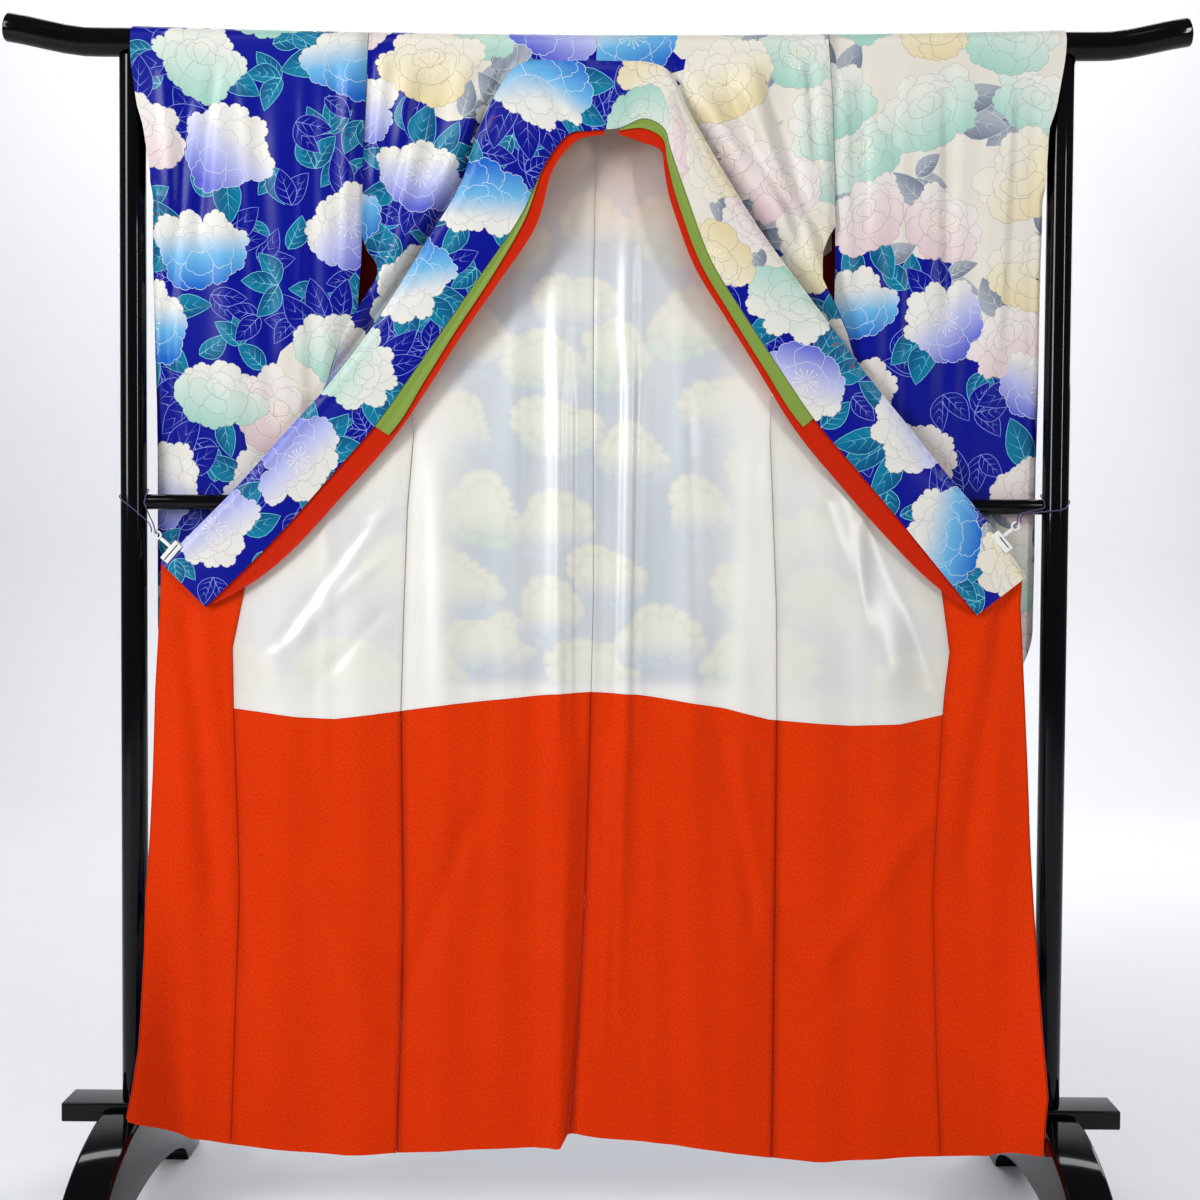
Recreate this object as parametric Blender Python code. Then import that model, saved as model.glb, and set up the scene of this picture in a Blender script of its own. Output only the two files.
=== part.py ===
"""Furisode kimono on a lacquered kimono stand.

The robe hangs over the top bar by its shoulders and sleeves. Both fronts are turned
open like doors, so the white upper lining and the orange lower lining show, and the
two ends of the wide collar are held out to the posts by small clips on thin cords.

Axes: +X to the viewer's right, -Y towards the viewer, +Z up, metres. The floor is z = 0.
"""
import math
from collections import namedtuple

import bmesh
import bpy
from mathutils import Vector

# Cloth
CLOTH = 0.0012              # thickness of one layer
SEAM_GAP = 0.0003           # gap between pieces that are sewn or lie on each other
LAYER = CLOTH + SEAM_GAP

# Stand
POST_X = 0.690              # from the middle to the axis of a post
POST_RADIUS = 0.0195
BAR_RADIUS = 0.0210
BAR_Z = 1.759               # axis of the top bar where it rests on the posts
BAR_SAG = 0.010             # the top bar bends this far under the robe
BAR_HALF_LENGTH = 0.877
BAR_TIP_RISE = 0.022        # the free ends turn up
BAR_TIP_START = 0.745
MID_BAR_Z = 1.077
MID_BAR_RADIUS = 0.0115
RAIL_HALF_LENGTH = 0.793
RAIL_DEPTH = 0.066
RAIL_TOP = 0.1755
RAIL_HEIGHT = 0.0285
FOOT_X = 0.697              # from the middle to the middle of a foot
FOOT_WIDTH = 0.066
FOOT_HALF_LENGTH = 0.290
FOOT_HEIGHT = 0.167
FOOT_ARCH_HALF_LENGTH = 0.210
FOOT_ARCH_HEIGHT = 0.058
FOOT_BEVEL = 0.006

# Robe
SHOULDER_HALF = 0.335       # from the back seam to the seam of a sleeve
ARMHOLE_Z = 1.455           # the sleeve is sewn to the body above this height
CUFF_Z = 1.555              # the sleeve's outer edge is open above this height
SLEEVE_BOTTOM_Z = 0.775
SLEEVE_CORNER = 0.120       # radius of the rounded lower corner
SLEEVE_ROUND = 0.014        # the two walls close on each other over this width
FURI_OVERLAP_X = 0.312      # the back layer reaches in behind the body this far
NECK_SEAM_GAP = 0.0012      # upright gap along the slanting collar seam
LINING_TOP_Z = 1.700
LINING_JOIN_Z = 0.780       # about where the white and the orange lining meet
HIP_Z = 1.240               # the turned fronts reach up to here at the side seams
SEAM_TUCK = 0.002           # the side seams are drawn in this far
SEAM_TUCK_WIDTH = 0.016
CORNER_LEAN = 0.060         # the lower corners of the fronts swing forward over the feet
CORD_RADIUS = 0.0009

DRAPE_RADIUS = BAR_RADIUS + 0.0008
ARC_STEPS = 6               # facets of the cloth over half of the bar


def smooth(low, high, value):
    """Smooth step from 0 at low to 1 at high."""
    t = min(1.0, max(0.0, (value - low) / (high - low)))
    return t * t * (3.0 - 2.0 * t)


def lerp(a, b, t):
    return a + (b - a) * t


def table(rows, value):
    """Read a table of (key, result) rows, keys rising or falling, with straight steps between."""
    if rows[0][0] > rows[-1][0]:
        rows = rows[::-1]
    if value <= rows[0][0]:
        return rows[0][1]
    for low, high in zip(rows, rows[1:]):
        if value <= high[0]:
            return lerp(low[1], high[1], (value - low[0]) / (high[0] - low[0]))
    return rows[-1][1]


# Edges of the robe: one row for each height, x on the left and on the right side
EdgeRow = namedtuple("EdgeRow", "z left right")

SLEEVE_SEAM = [
    EdgeRow(1.780, -0.335, 0.340),
    EdgeRow(1.670, -0.339, 0.348),
    EdgeRow(1.597, -0.343, 0.351),
    EdgeRow(1.450, -0.346, 0.355),
    EdgeRow(1.376, -0.352, 0.355),
]
FRONT_BODY_EDGE = [
    EdgeRow(1.450, -0.346, 0.355),
    EdgeRow(1.428, -0.322, 0.333),
    EdgeRow(1.410, -0.321, 0.333),
    EdgeRow(1.388, -0.336, 0.352),
    EdgeRow(1.330, -0.370, 0.374),
    EdgeRow(1.240, -0.404, 0.403),
]
SIDE_SEAM = [
    EdgeRow(1.460, -0.345, 0.354),
    EdgeRow(1.440, -0.330, 0.330),
    EdgeRow(1.350, -0.298, 0.290),
    EdgeRow(1.240, -0.273, 0.263),
    EdgeRow(1.180, -0.269, 0.261),
    EdgeRow(1.067, -0.278, 0.266),
    EdgeRow(0.933, -0.282, 0.272),
    EdgeRow(0.767, -0.286, 0.274),
    EdgeRow(0.483, -0.281, 0.273),
    EdgeRow(0.332, -0.283, 0.272),
    EdgeRow(0.100, -0.289, 0.271),
]
OKUMI_SEAM = [
    EdgeRow(1.130, -0.505, 0.500),
    EdgeRow(0.970, -0.515, 0.515),
    EdgeRow(0.860, -0.537, 0.530),
    EdgeRow(0.770, -0.535, 0.521),
    EdgeRow(0.590, -0.528, 0.511),
    EdgeRow(0.485, -0.526, 0.508),
    EdgeRow(0.257, -0.532, 0.515),
    EdgeRow(0.100, -0.537, 0.523),
]
FRONT_EDGE = [
    EdgeRow(1.020, -0.642, 0.642),
    EdgeRow(0.980, -0.642, 0.636),
    EdgeRow(0.930, -0.643, 0.633),
    EdgeRow(0.797, -0.650, 0.640),
    EdgeRow(0.678, -0.653, 0.646),
    EdgeRow(0.495, -0.661, 0.654),
    EdgeRow(0.409, -0.659, 0.657),
    EdgeRow(0.313, -0.659, 0.660),
    EdgeRow(0.275, -0.660, 0.662),
    EdgeRow(0.214, -0.667, 0.666),
    EdgeRow(0.175, -0.674, 0.663),
    EdgeRow(0.100, -0.675, 0.662),
]
SLEEVE_EDGE = [
    EdgeRow(1.780, -0.688, 0.694),
    EdgeRow(1.727, -0.687, 0.688),
    EdgeRow(1.662, -0.678, 0.677),
    EdgeRow(1.632, -0.669, 0.667),
    EdgeRow(1.566, -0.659, 0.664),
    EdgeRow(1.434, -0.662, 0.664),
    EdgeRow(1.231, -0.660, 0.666),
    EdgeRow(0.998, -0.661, 0.666),
    EdgeRow(0.775, -0.661, 0.664),
]
CENTRE_SEAM = [(1.780, 0.000), (1.379, -0.003), (0.935, 0.000), (0.677, -0.005),
               (0.485, -0.010), (0.288, -0.020), (0.100, -0.036)]

# Hem and lower edge of the white lining: height of the cloth's edge at each x
HEM = [(-0.675, 0.172), (-0.647, 0.157), (-0.598, 0.128), (-0.535, 0.118), (-0.433, 0.108),
       (-0.366, 0.104), (-0.283, 0.107), (-0.209, 0.112), (-0.134, 0.115), (-0.037, 0.120),
       (-0.035, 0.140), (0.015, 0.132), (0.090, 0.127), (0.165, 0.119), (0.269, 0.104),
       (0.344, 0.100), (0.403, 0.103), (0.463, 0.107), (0.590, 0.111), (0.632, 0.123), (0.664, 0.129)]
LINING_JOIN = [(-0.537, 0.770), (-0.436, 0.757), (-0.384, 0.755), (-0.287, 0.767),
               (-0.212, 0.778), (-0.138, 0.786), (-0.063, 0.794), (0.000, 0.798),
               (0.071, 0.794), (0.197, 0.775), (0.264, 0.758), (0.383, 0.750),
               (0.458, 0.753), (0.522, 0.767)]

# Front turned open: its upper edge follows the seam edge of the collar, which hides it
TURNED_TOP_LEFT = [(-0.643, 0.984), (-0.616, 1.014), (-0.532, 1.088), (-0.436, 1.204),
                   (-0.404, 1.230), (-0.340, 1.240), (-0.250, 1.240)]
TURNED_TOP_RIGHT = [(0.240, 1.240), (0.340, 1.240), (0.403, 1.240), (0.451, 1.205),
                    (0.520, 1.115), (0.565, 1.070), (0.612, 1.008), (0.643, 0.970)]

# Depth of each hanging layer: y of its camera side at each height
CURTAIN_DEPTH = [(1.740, 0.0180), (1.460, 0.0178), (1.380, 0.0130), (1.250, -0.0080),
                 (1.150, -0.0175), (1.000, -0.0195), (0.900, -0.0230), (0.500, -0.0320),
                 (0.250, -0.0405), (0.080, -0.0420)]
SLEEVE_FRONT_DEPTH = [(1.760, -0.0227), (1.600, -0.0227), (1.300, -0.0050),
                      (1.140, 0.0135), (0.700, 0.0140)]
SLEEVE_BACK_DEPTH = [(1.760, 0.0215), (1.460, 0.0216), (1.400, 0.0290), (1.100, 0.0340),
                     (0.700, 0.0340)]

# Vertical folds: where a fold's crest starts and ends, how far it comes forward, its width
FoldRow = namedtuple("FoldRow", "x_top x_low z_top z_low depth width")

BACK_FOLDS = [
    FoldRow(-0.052, -0.048, 1.560, 0.110, 0.010, 0.020),
    FoldRow(0.052, 0.044, 1.580, 0.600, 0.008, 0.016),
    FoldRow(-0.120, -0.135, 1.420, 0.300, 0.005, 0.024),
    FoldRow(0.130, 0.165, 1.380, 0.160, 0.007, 0.030),
    FoldRow(-0.215, -0.220, 1.180, 0.120, 0.005, 0.028),
    FoldRow(0.225, 0.212, 1.000, 0.130, 0.004, 0.026),
]
TURNED_FOLDS = [
    FoldRow(-0.350, -0.345, 1.080, 0.110, 0.006, 0.034),
    FoldRow(-0.448, -0.470, 0.980, 0.160, 0.005, 0.032),
    FoldRow(-0.605, -0.600, 0.900, 0.180, 0.006, 0.026),
    FoldRow(0.330, 0.345, 1.100, 0.110, 0.006, 0.034),
    FoldRow(0.450, 0.430, 1.020, 0.160, 0.006, 0.032),
    FoldRow(0.590, 0.605, 0.930, 0.140, 0.006, 0.026),
]
SLEEVE_FOLDS = [
    FoldRow(-0.560, -0.520, 1.740, 0.820, 0.007, 0.026),
    FoldRow(-0.470, -0.450, 1.730, 0.900, 0.006, 0.022),
    FoldRow(-0.395, -0.400, 1.740, 1.050, 0.005, 0.018),
    FoldRow(0.420, 0.410, 1.740, 0.950, 0.005, 0.020),
    FoldRow(0.490, 0.500, 1.730, 0.850, 0.008, 0.024),
    FoldRow(0.590, 0.575, 1.740, 0.900, 0.006, 0.022),
]
SHOULDER_FOLDS = [
    FoldRow(-0.275, -0.285, 1.745, 1.430, 0.008, 0.018),
    FoldRow(-0.190, -0.215, 1.745, 1.560, 0.007, 0.020),
    FoldRow(-0.060, -0.075, 1.745, 1.640, 0.008, 0.022),
    FoldRow(0.020, 0.012, 1.745, 1.640, 0.006, 0.024),
    FoldRow(0.220, 0.275, 1.740, 1.500, 0.014, 0.020),
    FoldRow(0.300, 0.318, 1.745, 1.500, 0.007, 0.016),
]

# The roll of the front body beside the collar seam: how far it swells forward
ROLL_DEPTH = 0.016
ROLL_WIDTH = 0.034

# Collar: a row for each station, from one end over the neck to the other. The outer edge
# is the one sewn to the fronts, the inner edge the free one towards the neck.
CollarRow = namedtuple("CollarRow", "outer_x outer_z inner_x inner_z outer_y inner_y swell green red")

COLLAR = [
    CollarRow(-0.643, 0.986, -0.575, 0.921, -0.0250, -0.0320, 0.002, 0.000, 0.001),
    CollarRow(-0.588, 1.041, -0.520, 0.974, -0.0250, -0.0330, 0.003, 0.000, 0.022),
    CollarRow(-0.532, 1.098, -0.465, 1.030, -0.0250, -0.0320, 0.004, 0.000, 0.030),
    CollarRow(-0.462, 1.176, -0.398, 1.106, -0.0260, -0.0320, 0.004, 0.000, 0.032),
    CollarRow(-0.404, 1.240, -0.325, 1.190, -0.0260, -0.0320, 0.004, 0.025, 0.033),
    CollarRow(-0.348, 1.311, -0.269, 1.268, -0.0250, -0.0320, 0.005, 0.021, 0.031),
    CollarRow(-0.303, 1.376, -0.222, 1.336, -0.0250, -0.0320, 0.006, 0.017, 0.028),
    CollarRow(-0.244, 1.472, -0.164, 1.420, -0.0250, -0.0330, 0.006, 0.015, 0.028),
    CollarRow(-0.199, 1.548, -0.111, 1.498, -0.0250, -0.0340, 0.006, 0.008, 0.027),
    CollarRow(-0.172, 1.630, -0.076, 1.572, -0.0250, -0.0340, 0.006, 0.000, 0.014),
    CollarRow(-0.118, 1.720, -0.042, 1.617, -0.0250, -0.0340, 0.006, 0.000, 0.014),
    CollarRow(-0.040, 1.728, -0.010, 1.624, -0.0250, -0.0340, 0.004, 0.000, 0.008),
    CollarRow(0.030, 1.728, 0.034, 1.628, -0.0250, -0.0340, 0.004, 0.003, 0.010),
    CollarRow(0.080, 1.726, 0.070, 1.642, -0.0250, -0.0340, 0.004, 0.014, 0.034),
    CollarRow(0.112, 1.708, 0.100, 1.628, -0.0250, -0.0340, 0.006, 0.015, 0.032),
    CollarRow(0.140, 1.650, 0.112, 1.592, -0.0250, -0.0340, 0.007, 0.015, 0.026),
    CollarRow(0.198, 1.552, 0.138, 1.520, -0.0250, -0.0340, 0.008, 0.016, 0.026),
    CollarRow(0.250, 1.473, 0.170, 1.438, -0.0250, -0.0330, 0.008, 0.016, 0.026),
    CollarRow(0.302, 1.404, 0.216, 1.364, -0.0250, -0.0320, 0.006, 0.017, 0.026),
    CollarRow(0.355, 1.334, 0.266, 1.289, -0.0250, -0.0320, 0.005, 0.019, 0.028),
    CollarRow(0.403, 1.270, 0.324, 1.205, -0.0260, -0.0320, 0.004, 0.020, 0.032),
    CollarRow(0.464, 1.196, 0.388, 1.130, -0.0260, -0.0320, 0.004, 0.000, 0.033),
    CollarRow(0.526, 1.121, 0.450, 1.058, -0.0250, -0.0320, 0.004, 0.000, 0.031),
    CollarRow(0.588, 1.050, 0.512, 0.983, -0.0250, -0.0330, 0.003, 0.000, 0.022),
    CollarRow(0.642, 0.973, 0.568, 0.916, -0.0250, -0.0320, 0.002, 0.000, 0.001),
]
COLLAR_STEPS = 2            # stations between two rows
COLLAR_COLUMNS = 4
TRIM_OVERLAP = 0.010        # green and red collar strips reach in behind the collar

# Clips: middle of the jaw, its direction along the collar's edge, and the ring's place
ClipRow = namedtuple("ClipRow", "side x z angle ring_x ring_z")
CLIPS = [
    ClipRow("left", -0.629, 1.004, math.radians(49.0), -0.6485, 1.0270),
    ClipRow("right", 0.607, 1.0265, math.radians(-50.0), 0.6250, 1.0480),
]
JAW_LENGTH = 0.034
JAW_REACH = 0.010
JAW_PLATE = 0.0022
JAW_THROAT = 0.0015         # bottom of the jaw's mouth, past the collar's edge
JAW_WALL = 0.0040           # outer face of the jaw
ARM_WIDTH = 0.0050
CLIP_PLAY = 0.0022          # the jaw stays this far off the cloth
RING_MAJOR = 0.0055
RING_MINOR = 0.0016


def bar_axis_z(x):
    """Height of the top bar's axis: sagging between the posts, turned up at the ends."""
    side = abs(x)
    if side <= POST_X:
        return BAR_Z - BAR_SAG * (1.0 - (side / POST_X) ** 2)
    rise = smooth(BAR_TIP_START, BAR_HALF_LENGTH + 0.03, side)
    return BAR_Z + BAR_TIP_RISE * rise * 1.1


def edge(rows, z, side):
    column = 1 if side < 0 else 2
    return table([(row[0], row[column]) for row in rows], z)


def folds(rows, x, z):
    """How far the cloth comes forward at x and z."""
    total = 0.0
    for row in rows:
        t = (row.z_top - z) / (row.z_top - row.z_low)
        if t <= 0.0:
            continue
        middle = lerp(row.x_top, row.x_low, min(1.0, t))
        fade = smooth(0.0, 0.18, t) * (1.0 - smooth(0.95, 1.25, t))
        total += row.depth * fade * math.exp(-((x - middle) / row.width) ** 2)
    return total


def curtain(x, z):
    """Camera side of the lining of the back and of the turned fronts."""
    base = table(CURTAIN_DEPTH, z)
    side_seam = abs(x - edge(SIDE_SEAM, z, x))
    tuck = SEAM_TUCK * math.exp(-(side_seam / SEAM_TUCK_WIDTH) ** 2) * (1.0 - smooth(1.15, 1.25, z))
    lean = CORNER_LEAN * smooth(0.600, 0.680, abs(x)) * (1.0 - smooth(0.20, 0.60, z))
    return base + tuck - lean - folds(BACK_FOLDS, x, z) - folds(TURNED_FOLDS, x, z)


def material(name, colour, roughness, metallic=0.0):
    made = bpy.data.materials.new(name)
    made.use_nodes = True
    shader = made.node_tree.nodes["Principled BSDF"]
    shader.inputs["Base Color"].default_value = (*colour, 1.0)
    shader.inputs["Roughness"].default_value = roughness
    shader.inputs["Metallic"].default_value = metallic
    return made


def finish(name, mesh, colour_of):
    mesh.materials.append(material(name, *colour_of))
    made = bpy.data.objects.new(name, mesh)
    bpy.context.scene.collection.objects.link(made)
    return made


PRINT_BLUE = ((0.004, 0.012, 0.310), 0.42)
WHITE_SILK = ((0.760, 0.740, 0.700), 0.50)
ORANGE_SILK = ((0.760, 0.036, 0.002), 0.60)
SLEEVE_RED = ((0.150, 0.000, 0.000), 0.60)
COLLAR_RED = ((0.480, 0.007, 0.000), 0.55)
TRIM_GREEN = ((0.230, 0.350, 0.040), 0.55)
LACQUER = ((0.004, 0.004, 0.005), 0.12)
CLIP_WHITE = ((0.850, 0.850, 0.840), 0.35)
CORD_PURPLE = ((0.030, 0.006, 0.090), 0.70)


def wall(name, near, far, colour_of):
    """One closed wall between two grids of points with the same rows and columns."""
    rows = len(near)
    columns = len(near[0])
    mesh = bmesh.new()
    front = [[mesh.verts.new(p) for p in row] for row in near]
    back = [[mesh.verts.new(p) for p in row] for row in far]
    for r in range(rows - 1):
        for c in range(columns - 1):
            for side in (front, back):
                mesh.faces.new((side[r][c], side[r + 1][c], side[r + 1][c + 1]))
                mesh.faces.new((side[r][c], side[r + 1][c + 1], side[r][c + 1]))
    for r in range(rows - 1):
        for c in (0, columns - 1):
            mesh.faces.new((front[r][c], back[r][c], back[r + 1][c], front[r + 1][c]))
    for c in range(columns - 1):
        for r in (0, rows - 1):
            mesh.faces.new((front[r][c], front[r][c + 1], back[r][c + 1], back[r][c]))
    bmesh.ops.recalc_face_normals(mesh, faces=mesh.faces)
    data = bpy.data.meshes.new(name)
    mesh.to_mesh(data)
    mesh.free()
    data.shade_smooth()
    return finish(name, data, colour_of)


def grid_wall(name, grid, shift, colour_of):
    """A wall of cloth whose camera side is the grid moved back by shift."""
    near = [[(x, y + shift, z) for x, y, z in row] for row in grid]
    far = [[(x, y + shift + CLOTH, z) for x, y, z in row] for row in grid]
    return wall(name, near, far, colour_of)


def strip_rows(left, right, levels, columns):
    """Grid of a hanging strip: x runs between two edges, z through levels (height, rows)."""
    half_gap = SEAM_GAP / 2.0
    rows = []
    for step, ((top, count), (bottom, _)) in enumerate(zip(levels, levels[1:])):
        for r in range(0 if step == 0 else 1, count + 1):
            row = []
            for c in range(columns + 1):
                u = c / columns
                x = lerp(left(LINING_JOIN_Z), right(LINING_JOIN_Z), u)
                for _ in range(3):
                    z = lerp(top(x), bottom(x), r / count)
                    x = lerp(left(z) + half_gap, right(z) - half_gap, u)
                row.append((x, curtain(x, z), z))
            rows.append(row)
    return rows


# Body: each half is one length of cloth from the hem at the back, over the bar, to the
# collar seam in front
def collar_seam(x):
    """Height of the collar's sewn edge at x."""
    rows = [(row.outer_x, row.outer_z) for row in collar_stations() if abs(row.outer_x) < 0.45]
    return table(rows, x)


FRONT_LEG_ROWS = [0.0, 0.035, 0.13, 0.25, 0.37, 0.50, 0.62, 0.75, 0.88, 1.0]
FLAT_EDGE = 0.010           # the body stays flat this far above the collar seam


def shoulder_depth(x, z):
    """Camera side of the front body under the bar."""
    drop = bar_axis_z(x) - z
    above = z - collar_seam(x) - FLAT_EDGE
    roll = ROLL_DEPTH if x > 0 else ROLL_DEPTH * 0.6
    swell = roll * smooth(0.03, 0.12, drop) * smooth(0.0, 0.030, above)
    swell *= math.exp(-((above - 0.045) / ROLL_WIDTH) ** 2)
    return -DRAPE_RADIUS - CLOTH - swell - folds(SHOULDER_FOLDS, x, z) * smooth(0.0, 0.03, above)


def front_leg(side, columns):
    """Grid of the front body, from the collar seam up to the bar."""
    tip = edge(FRONT_BODY_EDGE, 1.24, side)
    shoulder = edge(SLEEVE_SEAM, BAR_Z, side)
    half_gap = side * SEAM_GAP / 2.0
    tip_z = collar_seam(tip) + NECK_SEAM_GAP

    def outline_x(z):
        if z > FRONT_BODY_EDGE[0].z:
            return edge(SLEEVE_SEAM, z, side)
        return edge(FRONT_BODY_EDGE, z, side)

    grid = []
    for share_up in FRONT_LEG_ROWS:
        v = 1.0 - share_up
        row = []
        for c in range(columns + 1):
            u = c / columns
            top_x = lerp(shoulder, 0.0, u)
            low_x = lerp(tip, 0.0, u)
            z = lerp(bar_axis_z(top_x), collar_seam(low_x) + NECK_SEAM_GAP, v)
            x = lerp(top_x, low_x, v ** 3)
            share = min(1.0, (BAR_Z - z) / (BAR_Z - tip_z))
            plain = lerp(shoulder, tip, max(0.0, share) ** 3)
            x += (outline_x(z) - plain) * (1.0 - u) ** 4 + half_gap * u
            y = shoulder_depth(x, z) if share_up < 1.0 else -DRAPE_RADIUS - CLOTH
            row.append((x, y, z))
        grid.append(row)
    return grid


def bar_arc(xs, angles):
    """Rows of cloth over the bar: the inner facets stay clear of the round bar."""
    inner = []
    outer = []
    fit = 1.0 / math.cos(math.pi / 2.0 / ARC_STEPS)
    for degrees in angles:
        angle = math.radians(degrees)
        across = math.cos(angle) * DRAPE_RADIUS * fit
        up = math.sin(angle) * DRAPE_RADIUS * fit
        out_across = math.cos(angle) * CLOTH
        out_up = math.sin(angle) * CLOTH
        inner.append([(x, across, bar_axis_z(x) + up) for x in xs])
        outer.append([(x, across + out_across, bar_axis_z(x) + up + out_up) for x in xs])
    return inner, outer


def back_levels():
    """Heights the back's rows run through: bar, lining top, hip, join of the linings, hem."""
    def bar(x):
        return bar_axis_z(x) - 0.0001

    def lining_top(x):
        return LINING_TOP_Z

    def hip(x):
        return HIP_Z

    def join(x):
        return table(LINING_JOIN, x)

    def hem(x):
        return table(HEM, x)

    return [(bar, ROWS_TO_LINING), (lining_top, 5), (hip, ROWS_TO_JOIN - 5 - ROWS_TO_LINING), (join, 8), (hem, 0)]


BACK_COLUMNS = 12
FRONT_COLUMNS = 6
OKUMI_COLUMNS = 3
ROWS_TO_LINING = 1
ROWS_TO_JOIN = 12


def back_grid(side):
    def side_edge(z):
        return edge(SIDE_SEAM, z, side) if z < ARMHOLE_Z else edge(SLEEVE_SEAM, z, side)

    def centre(z):
        return table(CENTRE_SEAM, z)

    left, right = (side_edge, centre) if side < 0 else (centre, side_edge)
    return strip_rows(left, right, back_levels(), BACK_COLUMNS)


def build_body(name, side, back):
    grid = front_leg(side, BACK_COLUMNS)
    if side > 0:
        grid = [row[::-1] for row in grid]
    outer = [list(row) for row in grid]
    inner = [[(x, y + CLOTH, z) for x, y, z in row] for row in grid]
    arc_inner, arc_outer = bar_arc([p[0] for p in grid[-1]], (150.0, 120.0, 90.0, 60.0, 30.0))
    inner += arc_inner
    outer += arc_outer
    for row in back:
        inner_row = []
        for x, y, z in row:
            share = smooth(LINING_TOP_Z, LINING_TOP_Z + 0.03, z)
            inner_row.append((x, lerp(y + LAYER, DRAPE_RADIUS, share), z))
        inner.append(inner_row)
        outer.append([(x, y + CLOTH, z) for x, y, z in inner_row])
    wall(name, outer, inner, PRINT_BLUE)


def split_rows(grid, row):
    """The grid above and below a row, parted there by a seam gap."""
    half_gap = SEAM_GAP / 2.0
    upper = grid[:row] + [[(x, y, z + half_gap) for x, y, z in grid[row]]]
    lower = [[(x, y, z - half_gap) for x, y, z in grid[row]]] + grid[row + 1:]
    return upper, lower


def build_curtain(side, back):
    """The linings of the back, and the front turned open with its linings."""
    label = "left" if side < 0 else "right"
    upper, lower = split_rows(back, ROWS_TO_JOIN)
    grid_wall("lining_back_%s" % label, upper[ROWS_TO_LINING:], 0.0, WHITE_SILK)
    grid_wall("hakkake_back_%s" % label, lower, 0.0, ORANGE_SILK)

    def top(x):
        return table(TURNED_TOP_LEFT if side < 0 else TURNED_TOP_RIGHT, x)

    def join(x):
        return table(LINING_JOIN, x)

    def hem(x):
        return table(HEM, x)

    def side_edge(z):
        return edge(SIDE_SEAM, z, side)

    def okumi_edge(z):
        return edge(OKUMI_SEAM, z, side)

    def front_edge(z):
        return edge(FRONT_EDGE, z, side)

    levels = [(top, 6), (join, 8), (hem, 0)]
    for piece, near_edge, far_edge, columns in (("front", side_edge, okumi_edge, FRONT_COLUMNS),
                                                ("okumi", okumi_edge, front_edge, OKUMI_COLUMNS)):
        left, right = (far_edge, near_edge) if side < 0 else (near_edge, far_edge)
        grid = strip_rows(left, right, levels, columns)
        grid_wall("%s_%s" % (piece, label), grid, LAYER, PRINT_BLUE)
        if piece == "front":
            upper, lower = split_rows(grid, 6)
            grid_wall("lining_front_%s" % label, upper, 0.0, WHITE_SILK)
            grid_wall("hakkake_front_%s" % label, lower, 0.0, ORANGE_SILK)
        else:
            grid_wall("hakkake_okumi_%s" % label, grid, 0.0, ORANGE_SILK)


# Sleeves: a front and a back wall that close on each other at the outer edge and the bottom
def sleeve_half_depth(x, z, side):
    """0 at the sewn outer edge and bottom, 1 inside the sleeve."""
    outer = abs(edge(SLEEVE_EDGE, z, side))
    to_edge = max(0.0, outer - abs(x))
    to_bottom = max(0.0, z - SLEEVE_BOTTOM_Z)
    corner_x = outer - SLEEVE_CORNER
    corner_z = SLEEVE_BOTTOM_Z + SLEEVE_CORNER
    if abs(x) > corner_x and z < corner_z:
        reach = math.hypot(abs(x) - corner_x, corner_z - z)
        to_edge = max(0.0, SLEEVE_CORNER - reach)
        to_bottom = to_edge
    open_cuff = smooth(CUFF_Z - 0.03, CUFF_Z, z)
    near = min(1.0, to_edge / SLEEVE_ROUND)
    side_round = math.sqrt(max(0.0, 1.0 - (1.0 - near) ** 2))
    low = min(1.0, to_bottom / SLEEVE_ROUND)
    low_round = math.sqrt(max(0.0, 1.0 - (1.0 - low) ** 2))
    return min(lerp(side_round, 1.0, open_cuff), low_round)


def crease_step(x, z, side):
    """The front layer folds back along a slanting line near its outer edge."""
    if side < 0:
        line = lerp(0.655, 0.598, (1.560 - z) / 0.470)
    else:
        line = lerp(0.662, 0.640, (1.560 - z) / 0.470)
    depth = 0.005 if side < 0 else 0.003
    return depth * smooth(line, line + 0.006, abs(x)) * (1.0 - smooth(1.50, 1.56, z))


def sleeve_point(u, v, side, layer):
    """x and z of a point of a sleeve's wall."""
    top_z = bar_axis_z(side * 0.5)
    z = lerp(top_z, SLEEVE_BOTTOM_Z, v)
    outer = abs(edge(SLEEVE_EDGE, z, side))
    drop = SLEEVE_BOTTOM_Z + SLEEVE_CORNER - z
    if drop > 0.0:
        outer -= SLEEVE_CORNER - math.sqrt(max(0.0, SLEEVE_CORNER ** 2 - drop ** 2))
    inner = abs(edge(SLEEVE_SEAM, z, side)) + 2.0 * SEAM_GAP
    if layer == "back":
        inner = lerp(FURI_OVERLAP_X, inner, smooth(ARMHOLE_Z, ARMHOLE_Z + 0.025, z))
    return side * lerp(outer, inner, u), z


def sleeve_depth(x, z, side, layer):
    front = table(SLEEVE_FRONT_DEPTH, z) - folds(SLEEVE_FOLDS, x, z) * smooth(1.12, 1.25, z)
    front += crease_step(x, z, side)
    back = table(SLEEVE_BACK_DEPTH, z) + 0.8 * folds(SLEEVE_FOLDS, x, z) * smooth(0.0, 0.08, ARMHOLE_Z - z)
    middle = (table(SLEEVE_FRONT_DEPTH, z) + table(SLEEVE_BACK_DEPTH, z) + CLOTH) / 2.0
    share = sleeve_half_depth(x, z, side)
    if layer == "front":
        return lerp(middle - CLOTH - SEAM_GAP / 2.0, front, share)
    return lerp(middle + SEAM_GAP / 2.0, back, share)


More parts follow.
